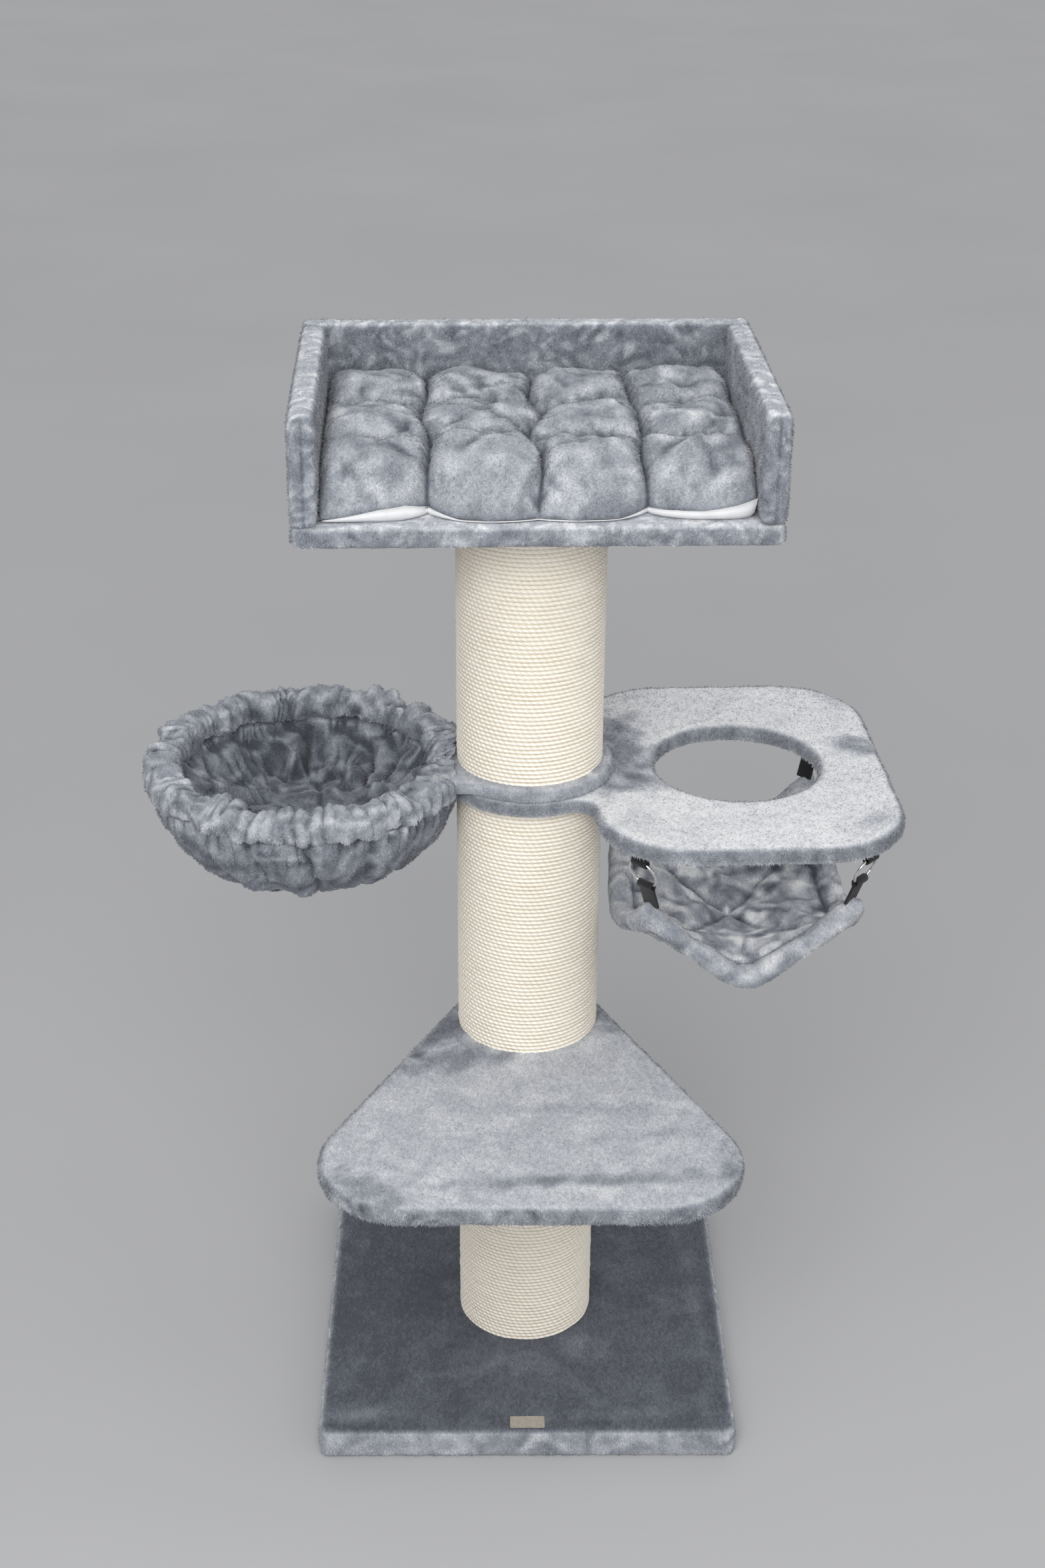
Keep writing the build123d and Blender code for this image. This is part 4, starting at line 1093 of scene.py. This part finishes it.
def hammock_layers():
    """Pillows between the crossing seams, and a round bound edge outside its own seam."""
    step = np.arange(HAMMOCK_STEPS + 1) - HAMMOCK_STEPS // 2
    deep, wide = np.meshgrid(step, step, indexing="ij")
    half = HAMMOCK_STEPS / 2
    middle = hammock_middle(wide / half, deep / half)
    ring, sewn = np.maximum(np.abs(wide), np.abs(deep)), half - HAMMOCK_EDGE
    off_cross = np.abs(np.abs(wide) - np.abs(deep)) / sewn
    off_edge = (sewn - ring) / sewn
    pillow = (arch(off_cross * CROSS_STEEP) * arch(off_edge * EDGE_STEEP)) ** 0.6
    roll = np.sqrt(np.clip(1 - ((ring - sewn) / HAMMOCK_EDGE * 2 - 1) ** 2, 0, 1))
    rise = np.where(ring <= sewn, SEAM_HALF + PILLOW * pillow, SEAM_HALF * (ring < half) + ROLL_HALF * roll)
    rim, seam = ring == half, (ring == sewn) | (np.abs(wide) == np.abs(deep)) & (ring < sewn)
    plan = middle[..., :2] / MM
    lumps = HAMMOCK_LUMP * mottled(middle, 403, 76 * MM) + HAMMOCK_SMALL_LUMP * waves(plan, 26, 404)
    rise = rise + np.where(rim | seam | (ring > sewn), 0, lumps) * (rise > 3)
    normals = grid_normals(middle)
    top, low = (turned(middle + way * normals * rise[..., None] * MM, BOARD_TURN) for way in (1, -1))
    return top, low, rim | seam


hammock_top, hammock_low, hammock_held = hammock_layers()
print("hammock:", hammock_top.shape[0], "by", hammock_top.shape[1], "points for each layer")

# %% Padded hammock
HAMMOCK_PUFF = {"pressure": 2.2, "slack": 0.01, "cap": 9 * MM, "bending": 9.0}
HAMMOCK_NAP, HAMMOCK_MOTTLE, HAMMOCK_FOLD_SHADE, HAMMOCK_SEAM_SHADE = 0.70, 0.19, 0.30, 0.44
UNDER_SHADE = 0.14


def hammock_cloth(top, low, held):
    """The filled cloth: its quarters swell between the held seams, and its edge is brushed more evenly."""
    piece = two_layers("hammock", top, low, held, held)
    puff(piece, **HAMMOCK_PUFF)
    points, normals = read(piece.data), read(piece.data, "normal")
    flat = turned(points, -BOARD_TURN) / MM
    deep_share = np.abs(flat[:, 1]) / HALF_DEPTH
    half_here = SIDE_HALF + (CORNER_HALF - SIDE_HALF) * np.minimum(deep_share, 1) ** SAG_POWER
    edge = smooth(0.80, 0.90, np.maximum(deep_share, np.abs(flat[:, 0] - HAMMOCK_X) / half_here))
    shade = HAMMOCK_NAP + HAMMOCK_MOTTLE * mottled(points, 410, 52 * MM) * (1 - 0.5 * edge)
    # Painted shade on the underside, in the folds and along the sewn seams, and a painted highlight on
    # ridges.
    shade = shade - UNDER_SHADE * smooth(0.1, -0.5, normals[:, 2])
    shade = shade + HAMMOCK_FOLD_SHADE * fold_shade(piece.data, 14, 2.3 * MM)
    brush_cloth(piece, shade - HAMMOCK_SEAM_SHADE * held_share(piece.data, SEAM_SHADE_ROUNDS), 412)
    add_subdivision(piece)
    dress(piece, plush, "hammock", "plush", "hammock_cloth")
    return piece


hammock = hammock_cloth(hammock_top, hammock_low, hammock_held)

# %% [markdown]
# ## Webbing
# Each hanger is one black tape: screwed under the board at both its ends, it runs down, round the ring and
# up again. Each strap goes round the ring in the same way and is sewn into the hammock's corner. A curve with
# a flat bevel could do it. Here a tape is a thin section carried along a path of corners, which a running
# mean rounds off, because its weave then has the path's own length to follow.

# %% Paths round the rings
PATH_STEP = 0.5
ROUNDING = 9
HANGER_PATH = [(-24, 19), (-1.5, 19), (1, 17.5), (1, 7), (4.6, 2), (4.6, -3), (0, -6.4), (-4.6, -3),
               (-4.6, 2), (-1, 7), (-1, 15.5), (-3, 17), (-24, 17)]
STRAP_PATH = [(1, -40), (1, -7), (4.6, -2), (4.6, 3), (0, 6.4), (-4.6, 3), (-4.6, -2), (-1, -7), (-1, -40)]


def rounded_path(corners):
    """Points close together along straight runs, then a running mean that rounds the corners."""
    corners = np.array(corners, float)
    along = np.concatenate([[0], np.cumsum(np.linalg.norm(np.diff(corners, axis=0), axis=1))])
    at = np.arange(0, along[-1], PATH_STEP)
    path = np.stack([np.interp(at, along, corners[:, k]) for k in (0, 1)], axis=-1)
    ends = ROUNDING // 2
    padded = np.concatenate([np.repeat(path[:1], ends, 0), path, np.repeat(path[-1:], ends, 0)])
    window = np.ones(ROUNDING) / ROUNDING
    return np.stack([np.convolve(padded[:, k], window, "valid") for k in (0, 1)], axis=-1)


for path_name, corners in (("hanger", HANGER_PATH), ("strap", STRAP_PATH)):
    print(path_name, "path:", len(rounded_path(corners)) * PATH_STEP, "mm")

# %% Tapes
TAPE_WIDTH, TAPE_THICK, TAPE_EDGE = 24.0, 1.8, 0.8
TAPE_HALF, FLAT_HALF = TAPE_WIDTH / 2, TAPE_WIDTH / 2 - TAPE_EDGE
TAPE_SECTION = np.array([  # across, and up as a share of half the thickness
    (-TAPE_HALF, -0.4), (-FLAT_HALF, -1), (0, -1), (FLAT_HALF, -1), (TAPE_HALF, -0.4), (TAPE_HALF, 0.4),
    (FLAT_HALF, 1), (0, 1), (-FLAT_HALF, 1), (-TAPE_HALF, 0.4)])
HANG_X, HANG_Y, HANG_Z = 152.0, 205.0, 923.0
RING_RADIUS, RING_LEAN = 21.0, 20.0
CORNERS = {"front_left": (-1, -1), "front_right": (1, -1), "back_left": (-1, 1), "back_right": (1, 1)}


def tape_points(corners, sx, sy, lean, place):
    """The section carried along the path, closed at both ends, in the upright plane through the corner."""
    path = rounded_path(corners)
    way = np.gradient(path, axis=0)
    way /= np.linalg.norm(way, axis=1, keepdims=True)
    side = np.stack([-way[:, 1], way[:, 0]], axis=-1)
    size = np.ones(len(path))
    size[[0, -1]] = 0
    rise = TAPE_SECTION[None, :, 1:] * (TAPE_THICK / 2) * size[:, None, None]
    flat, width = path[:, None, :] + side[:, None, :] * rise, TAPE_SECTION[None, :, 0] * size[:, None]
    outward = np.array([sx, sy, 0]) / math.sqrt(2)
    up, tilt = np.array([0, 0, 1.0]), math.radians(lean)
    out_way = outward * math.cos(tilt) - up * math.sin(tilt)
    up_way = outward * math.sin(tilt) + up * math.cos(tilt)
    wide_way = np.cross(up, outward)
    points = np.array(place) + flat[..., :1] * out_way + flat[..., 1:] * up_way + width[..., None] * wide_way
    return turned(points * MM, BOARD_TURN)


def tape(name, points, body, replaced):
    """A tape from its rows of points, with its own length and width for the weave."""
    rows, columns = points.shape[:2]
    faces = grid_faces(rows, columns, ring_columns=True)
    piece = new_piece(name, points, faces)
    length = np.repeat(np.arange(rows) * PATH_STEP, columns)
    set_uv(piece, "tape", np.stack([length[faces], np.tile(TAPE_SECTION[:, 0], rows)[faces]], axis=-1) * MM)
    close_seams(piece, MERGE / 10)
    dress(piece, finishes["webbing"], body, "webbing", replaced)


def make_tapes():
    """A hanger and a strap at each corner of the board."""
    lean = math.radians(RING_LEAN)
    inwards = 2 * RING_RADIUS * math.sin(lean) / math.sqrt(2)
    drop = 2 * RING_RADIUS * math.cos(lean)
    for corner, (sx, sy) in CORNERS.items():
        x, y = HAMMOCK_X + sx * HANG_X, sy * HANG_Y
        hanger = tape_points(HANGER_PATH, sx, sy, 0.0, (x, y, HANG_Z))
        tape(f"hanger_tape_{corner}", hanger, "tree", f"hanger_{corner}")
        low = (x - sx * inwards, y - sy * inwards, HANG_Z - drop)
        strap = tape_points(STRAP_PATH, sx, sy, RING_LEAN, low)
        tape(f"strap_tape_{corner}", strap, "hammock", f"strap_{corner}")
    print("tapes:", 2 * len(CORNERS))


make_tapes()

# %% [markdown]
# ## The basket
# A sack of plush hangs in a wooden ring on the second arm. Elastic gathers its hem over the ring, so the
# rim is a roll of small puckers, the inside hangs in deep folds and the bottom lies flat with two seams
# across it. Simulated cloth could be gathered too, but its puckers fall where they like. This surface is a
# profile carried round the ring's axis: outside bowl, rim and inside bowl, with the folds as a function of
# the angle. Where it would run into the post's disc it is pressed flat against it.

# %% The basket's profile
SACK_BOTTOM, SACK_INNER = 817.0, 872.0
SACK_SIDE, SACK_MOUTH, SACK_TOP = 206.0, 178.0, 951.0
BOWL_POWER, BOWL_STEPS = 2.5, 4000
RIM_MIDDLE, RIM_HALF, RIM_Z = 195.5, 23.0, 968.0
RIM_RISE, RIM_HEM, RIM_INNER, RIM_SQUARE = 22.0, 16.0, 12.0, 0.7
RIM_TURN = (-72, 248)
OUTER_ROWS, RIM_ROWS, INNER_ROWS = 44, 40, 58


def bowl_profile(radius, floor, height, rows):
    """Height = floor + rise x (1 - root of (1 - (distance / radius) to a power)), in even steps along it."""
    r = np.linspace(0, radius, BOWL_STEPS)
    z = floor + height * (1 - np.sqrt(1 - (r / radius) ** BOWL_POWER))
    along = np.concatenate([[0], np.cumsum(np.hypot(np.diff(r), np.diff(z)))])
    at = np.linspace(0, along[-1], rows)
    return np.stack([np.interp(at, along, r), np.interp(at, along, z)], axis=-1)


def basket_profile():
    """Distance and height along the sack: up its outside, over the rolled rim and down its inside."""
    outer = bowl_profile(SACK_SIDE, SACK_BOTTOM, SACK_TOP - SACK_BOTTOM, OUTER_ROWS)
    inner = bowl_profile(SACK_MOUTH, SACK_INNER, SACK_TOP - 2 - SACK_INNER, INNER_ROWS)[::-1]
    turn = np.radians(np.linspace(*RIM_TURN, RIM_ROWS))
    out, up = (np.sign(way) * np.abs(way) ** RIM_SQUARE for way in (np.cos(turn), np.sin(turn)))
    reach = np.where(up > 0, RIM_RISE, np.where(out > 0, RIM_HEM, RIM_INNER))
    rim = np.stack([RIM_MIDDLE + RIM_HALF * out, RIM_Z + reach * up], axis=-1)
    return np.concatenate([outer, rim, inner])


print("basket:", len(basket_profile()), "rows,", 2 * (RIM_MIDDLE + RIM_HALF), "mm across its rim")

# %% Puckers, dimples and folds
PUCKERS, FOLDS, DIMPLES = 68, 15, 15
PUCKER_HEIGHT, HEM_PUCKER, MOUTH_PUCKER = 5.5, 4.5, 5.0
DIMPLE_HEIGHT, FOLD_HEIGHT, SMALL_FOLD = 8.0, 38.0, 3.0
STRENGTH_SPREAD, PUCKER_TWIST, DIMPLE_TWIST = 0.35, 0.07, 0.25
FOLD_END, FOLD_END_SPREAD, FOLD_FADE, FOLD_BEND = 0.47, 0.07, 0.06, 0.40
RIM_WAVES = ((2.6, 0.22), (1.2, 0.09))
RIM_ROOM, INNER_ROOM = 3.5, 12.0  # how far the rim and the inside may go in


def lobes(angle, count, seed, power=0.7, wander=0.10):
    """Round swellings between sharp creases, unevenly spaced: the sine of a warped angle, unsigned."""
    random = np.random.default_rng(seed)
    warp = sum(wander / k * np.sin(k * angle + random.uniform(0, 6.3)) * random.uniform(0.5, 1.5)
               for k in (2, 3, 5, 7))
    return np.abs(np.sin(count / 2 * (angle + warp))) ** power


def rows_of(*parts):
    """One column of values for the profile's rows: outside, rim and inside."""
    return np.concatenate([np.broadcast_to(part, size) for part, size in
                           zip(parts, (OUTER_ROWS, RIM_ROWS, INNER_ROWS))])[:, None]


def basket_push(angle):
    """How far each point moves along its normal: ruffled rim, dimpled outside, pleats inside."""
    up, down = np.linspace(0, 1, OUTER_ROWS), np.linspace(0, 1, INNER_ROWS)
    share_out, share_in = rows_of(up, 1.0, 0.0), rows_of(0.0, 0.0, down)
    outside, inside = rows_of(1.0, 0.0, 0.0), rows_of(0.0, 0.0, 1.0)
    over = rows_of(0.0, np.sin(np.linspace(0, np.pi, RIM_ROWS)) ** 0.35, 0.0)
    turn = rows_of(0.0, np.linspace(0, 1, RIM_ROWS), 1.0)
    around = np.stack([np.cos(angle), np.sin(angle)], axis=-1)
    strong = 1 + STRENGTH_SPREAD * waves(around, 0.5, 501)
    place = np.stack(np.broadcast_arrays(np.cos(angle), np.sin(angle), 0.5 * turn), axis=-1)
    puckers = lobes(angle + PUCKER_TWIST * turn * waves(around, 0.3, 505), PUCKERS, 502, 0.8)
    ruffles = PUCKER_HEIGHT * strong * (puckers - 0.5)
    for k, (height, size) in enumerate(RIM_WAVES):
        ruffles = ruffles + height * waves(place, size, 511 + k)
    push = over * ruffles + smooth(0.75, 1.0, share_out) * outside * HEM_PUCKER * (puckers - 0.6)
    dimples = lobes(angle + DIMPLE_TWIST * share_out, DIMPLES, 503, 0.6)
    push = push + outside * smooth(0.2, 0.7, share_out) * DIMPLE_HEIGHT * strong * (dimples - 0.65)
    ends = FOLD_END + FOLD_END_SPREAD * waves(around, 0.6, 507)
    hang = smooth(0.0, 0.14, share_in) * (1 - smooth(ends - FOLD_FADE, ends + FOLD_FADE, share_in)) * inside
    bend = FOLD_BEND * waves(around, 0.9, 508) * share_in
    push = push + hang * FOLD_HEIGHT * strong * (lobes(angle + bend, FOLDS, 504, 0.5, 0.16) - 0.45)
    push = push + hang * SMALL_FOLD * (lobes(angle - bend, 2 * FOLDS + 3, 509, 0.7, 0.12) - 0.6)
    push = push + (1 - smooth(0.02, 0.12, share_in)) * inside * MOUTH_PUCKER * (puckers - 0.75)
    return np.maximum(push, rows_of(-np.inf, -RIM_ROOM, -INNER_ROOM))


print("basket:", PUCKERS, "puckers and", FOLDS, "folds")

# %% The basket's surface
BASKET_X = -305.0
BASKET_COLUMNS = 600
FLOOR_PAD, FLOOR_PAD_REACH = 30.0, 125.0
FLOOR_SEAM, FLOOR_SEAM_WIDTH = 9.0, 6.0
LONG_SEAM, CROSS_SEAM = (18, 0.12), (8, 0.2)  # how far from the middle, and how slanted
SAG_SIZE, SAG = 52, (1.2, 1.2, 1.8)
POST_CLEAR, DISC_CLEAR = 101.5, 116.5
DISC_LOW, DISC_HIGH = 940.0, 988.0


def basket_points():
    """The profile carried round the ring's axis, its bottom seams pressed in, its post side pressed flat."""
    profile = basket_profile()
    way = np.gradient(profile, axis=0)
    normal = np.stack([way[:, 1], -way[:, 0]], axis=-1) / np.linalg.norm(way, axis=1, keepdims=True)
    angle = np.linspace(0, 2 * np.pi, BASKET_COLUMNS, endpoint=False)[None, :]
    push = basket_push(angle)
    r, z = profile[:, :1] + normal[:, :1] * push, profile[:, 1:] + normal[:, 1:] * push
    x, y = r * np.cos(angle), r * np.sin(angle)
    pad = np.clip(1 - (np.hypot(x, y) / FLOOR_PAD_REACH) ** 2, 0, 1) ** 0.7
    off_long = np.abs(x - LONG_SEAM[0] + LONG_SEAM[1] * y)
    seam = np.minimum(off_long, np.abs(y + CROSS_SEAM[0] - CROSS_SEAM[1] * x))
    z = z + rows_of(0.0, 0.0, 1.0) * pad * (FLOOR_PAD - FLOOR_SEAM * np.exp(-seam / FLOOR_SEAM_WIDTH))
    points = np.stack([BASKET_X + x, y, z + 0 * x], axis=-1)
    points = points + waves(points, SAG_SIZE, 510)[..., None] * np.array(SAG)
    points[0], points[-1] = points[0].mean(0), points[-1].mean(0)
    reach = np.hypot(points[..., 0], points[..., 1])
    band = smooth(DISC_LOW - 6, DISC_LOW, points[..., 2]) * smooth(DISC_HIGH + 8, DISC_HIGH, points[..., 2])
    scale = np.maximum((POST_CLEAR + (DISC_CLEAR - POST_CLEAR) * band) / np.maximum(reach, 1e-6), 1)
    return points * np.stack([scale, scale, np.ones_like(scale)], axis=-1) * MM


sack_points = basket_points()
print("basket:", round(float(np.ptp(sack_points[..., 2])) / MM), "mm high")

# %% Gathered basket and its arm
BASKET_NAP, LIGHT_WITH_HEIGHT, INNER_SHADE, OUTSIDE_SHADE = 0.25, 0.25, 0.18, 0.09
BASKET_MOTTLE, BASKET_FOLD_SHADE = 0.11, 0.32
SHADE_LOW, SHADE_HIGH = 840 * MM, 985 * MM
HEM_LOW, HEM_HIGH = 938 * MM, 958 * MM
ARM_NAP, ARM_MOTTLE, ARM_TOP = 0.50, 0.05, 0.14


def make_basket(points):
    """The sack as one closed surface from the middle of its outside to the middle of its inside."""
    piece = new_piece("basket", points, grid_faces(len(points), BASKET_COLUMNS, ring_columns=True))
    close_seams(piece)
    points = read(piece.data)
    # Painted light and shade: lighter towards the rim, darker lower down, inside, below the hem and in folds.
    height = smooth(SHADE_LOW, SHADE_HIGH, points[:, 2])
    inwards = np.hypot(points[:, 0] - BASKET_X * MM, points[:, 1]) < (RIM_MIDDLE - RIM_HALF + 2) * MM
    sack = ~inwards * smooth(HEM_HIGH, HEM_LOW, points[:, 2])
    shade = BASKET_NAP + LIGHT_WITH_HEIGHT * height - INNER_SHADE * inwards * height - OUTSIDE_SHADE * sack
    shade = shade + BASKET_MOTTLE * mottled(points, 520, 44 * MM)
    brush_cloth(piece, shade + BASKET_FOLD_SHADE * fold_shade(piece.data, 30, 1.8 * MM), 522, 0.35 * MM)
    dress(piece, plush, "tree", "plush", "basket_sack")
    print("basket:", len(piece.data.polygons), "faces")
    return piece


def arm_nap(points, normals):
    """Middle grey with a paler top."""
    return ARM_NAP + ARM_MOTTLE * mottled(points, 71) + ARM_TOP * smooth(0.5, 0.9, normals[:, 2])


basket = make_basket(sack_points)
covers["basket_arm"] = make_cover("basket_arm_cover", "basket_arm_board", "basket_arm_plush", arm_nap, 72,
                                  swell=0.8 * MM)

# %% [markdown]
# ## The pile
# What makes plush look soft is its edge: fibres stand out from it. Hair strands would be lost in an export,
# so each plush piece gets many thin spikes, three-sided and closed, on random places of its faces. They lie
# over on level faces, stand out at the sides, and lean together because a smooth random field gives their
# way. They take their shading from the cloth below, turned a little upwards, so that they look like one
# surface with bright edges.

# %% Where spikes stand
SIDE_WEIGHT = 2.6
UNDERNEATH = -0.75


def unit(vectors):
    """Vectors of length one."""
    return vectors / np.maximum(np.linalg.norm(vectors, axis=-1, keepdims=True), 1e-12)


def sideways(up):
    """0 where a face is level, 1 where it is upright."""
    return 1 - smooth(0.5, 0.95, np.abs(up))


def pile_roots(mesh, count, random, bare):
    """Random places on the faces, with more of them at the sides, and the normal and the nap at each."""
    mesh.calc_loop_triangles()
    corners = np.empty(len(mesh.loop_triangles) * 3, np.int32)
    mesh.loop_triangles.foreach_get("vertices", corners)
    corners = corners.reshape(-1, 3)
    points, normals, nap_and_shade = read(mesh), read(mesh, "normal"), np.empty(len(mesh.vertices), np.float32)
    mesh.attributes["nap_and_shade"].data.foreach_get("value", nap_and_shade)
    a, b, c = (points[corners[:, k]] for k in range(3))
    faces_up = normals[corners, 2].mean(1)
    weight = np.linalg.norm(np.cross(b - a, c - a), axis=1)
    weight = weight * (1 + SIDE_WEIGHT * sideways(faces_up)) * (faces_up > UNDERNEATH)
    if bare:
        weight = weight * ~bare(mesh, points)[corners].any(1)
    chosen = corners[random.choice(len(corners), count, p=weight / weight.sum())]
    share = random.dirichlet((1, 1, 1), count)[..., None]
    root, normal = (points[chosen] * share).sum(1), unit((normals[chosen] * share).sum(1))
    return root, normal, (nap_and_shade[chosen] * share[..., 0]).sum(1)


print("an upright face has", 1 + SIDE_WEIGHT * sideways(0.0), "times the spikes of a level one")

# %% Spikes
FIBRE_LENGTH, FIBRE_HALF = 6.0 * MM, 0.95 * MM
ROOT_DEPTH = 0.8 * MM
LEAN = (0.35, -0.9, -0.35)
LEAN_WANDER, LEAN_SCATTER = 0.5, 0.35
STAND_LEVEL, STAND_SIDE, STAND_SCATTER = 0.40, 0.55, 0.12
LENGTH_RANGE = (0.55, 1.15)
SHADE_SCATTER, ROOT_SHADE, TIP_HIGHLIGHT = 0.10, -0.02, 0.14
LIFTED_NORMAL = 0.8
GROUND = 0.2 * MM
SPIKE = np.array([[0, 1, 3], [1, 2, 3], [2, 0, 3], [2, 1, 0]])


def pile(piece, count, seed, body, size, bare=None):
    """Spikes on a piece: tip = root + length x the way between the normal and a lean along the cloth."""
    random = np.random.default_rng(seed)
    root, normal, shade = pile_roots(piece.data, count, random, bare)
    shade = shade + SHADE_SCATTER * np.abs(random.normal(0, 1, count)) - SHADE_SCATTER / 2
    drift = np.stack([waves(root, 60 * MM, seed + k, 12) for k in range(3)], axis=-1)
    way = np.array(LEAN) + LEAN_WANDER * drift + random.normal(0, LEAN_SCATTER, (count, 3))
    along = unit(way - normal * (way * normal).sum(1, keepdims=True))
    stand = STAND_LEVEL + STAND_SIDE * sideways(normal[:, 2:]) + random.normal(0, STAND_SCATTER, (count, 1))
    length = size * FIBRE_LENGTH * random.uniform(*LENGTH_RANGE, (count, 1))
    tip = root + length * unit(normal * stand + along)
    across_way = np.cross(normal, along)
    foot = root - normal * ROOT_DEPTH
    around = [foot + FIBRE_HALF * (along * math.cos(turn) + across_way * math.sin(turn))
              for turn in (0, 2 * math.pi / 3, 4 * math.pi / 3)]
    spikes = np.stack([*around, tip], axis=1)
    spikes[..., 2] = np.maximum(spikes[..., 2], GROUND)
    faces = (SPIKE[None] + 4 * np.arange(count)[:, None, None]).reshape(-1, 3)
    made = new_piece(piece.name + "_pile", spikes, faces)
    # Painted highlight: each spike's tip is lighter than its root.
    shades = np.stack([shade + ROOT_SHADE] * 3 + [shade + TIP_HIGHLIGHT], axis=1)
    set_attribute(made.data, "nap_and_shade", np.clip(shades, 0, 1).ravel())
    facing = unit(normal + np.array([0, 0, LIFTED_NORMAL]))
    made.data.normals_split_custom_set_from_vertices(np.repeat(facing, 4, axis=0))
    dress(made, plush, body, "plush")
    return len(faces)


print("spikes up to", round(FIBRE_LENGTH * LENGTH_RANGE[1] / MM, 1), "mm long")

# %% Pile on each piece
PLATE_ROOM, PLATE_BEHIND = 2, 3


def under_plate(mesh, points):
    """The base's points below its plate, and just behind it."""
    x, y = points[:, 0] / MM, points[:, 1] / MM - PLATE_Y
    beside = np.abs(x) < PLATE_HALF[0] + PLATE_ROOM
    return beside & (np.abs(y - PLATE_BEHIND) < PLATE_HALF[1] + PLATE_BEHIND)


def sewn_down(mesh, points):
    """The held points of a stuffed cloth: its seams and its underside."""
    return held_share(mesh) > 0.5


PILES = [  # piece, spikes, body, share of the full length, and what stays bare
    (covers["base"], 15000, "tree", 0.8, under_plate),
    (covers["platform"], 22000, "tree", 0.85),
    (covers["holed_board"], 22000, "tree", 0.9),
    (covers["bed_floor"], 9000, "tree", 0.75),
    (covers["bed_back"], 16000, "tree", 0.75),
    (covers["bed_left"], 10000, "tree", 0.75),
    (covers["bed_right"], 10000, "tree", 0.75),
    (covers["basket_arm"], 4000, "tree", 0.7),
    (basket, 34000, "tree", 0.75),
    (cushion, 30000, "cushion", 0.5, sewn_down),
    (hammock, 22000, "hammock", 0.55, sewn_down),
]
print("pile:", sum(pile(*entry[:2], 600 + 10 * k, *entry[2:]) for k, entry in enumerate(PILES)), "triangles")
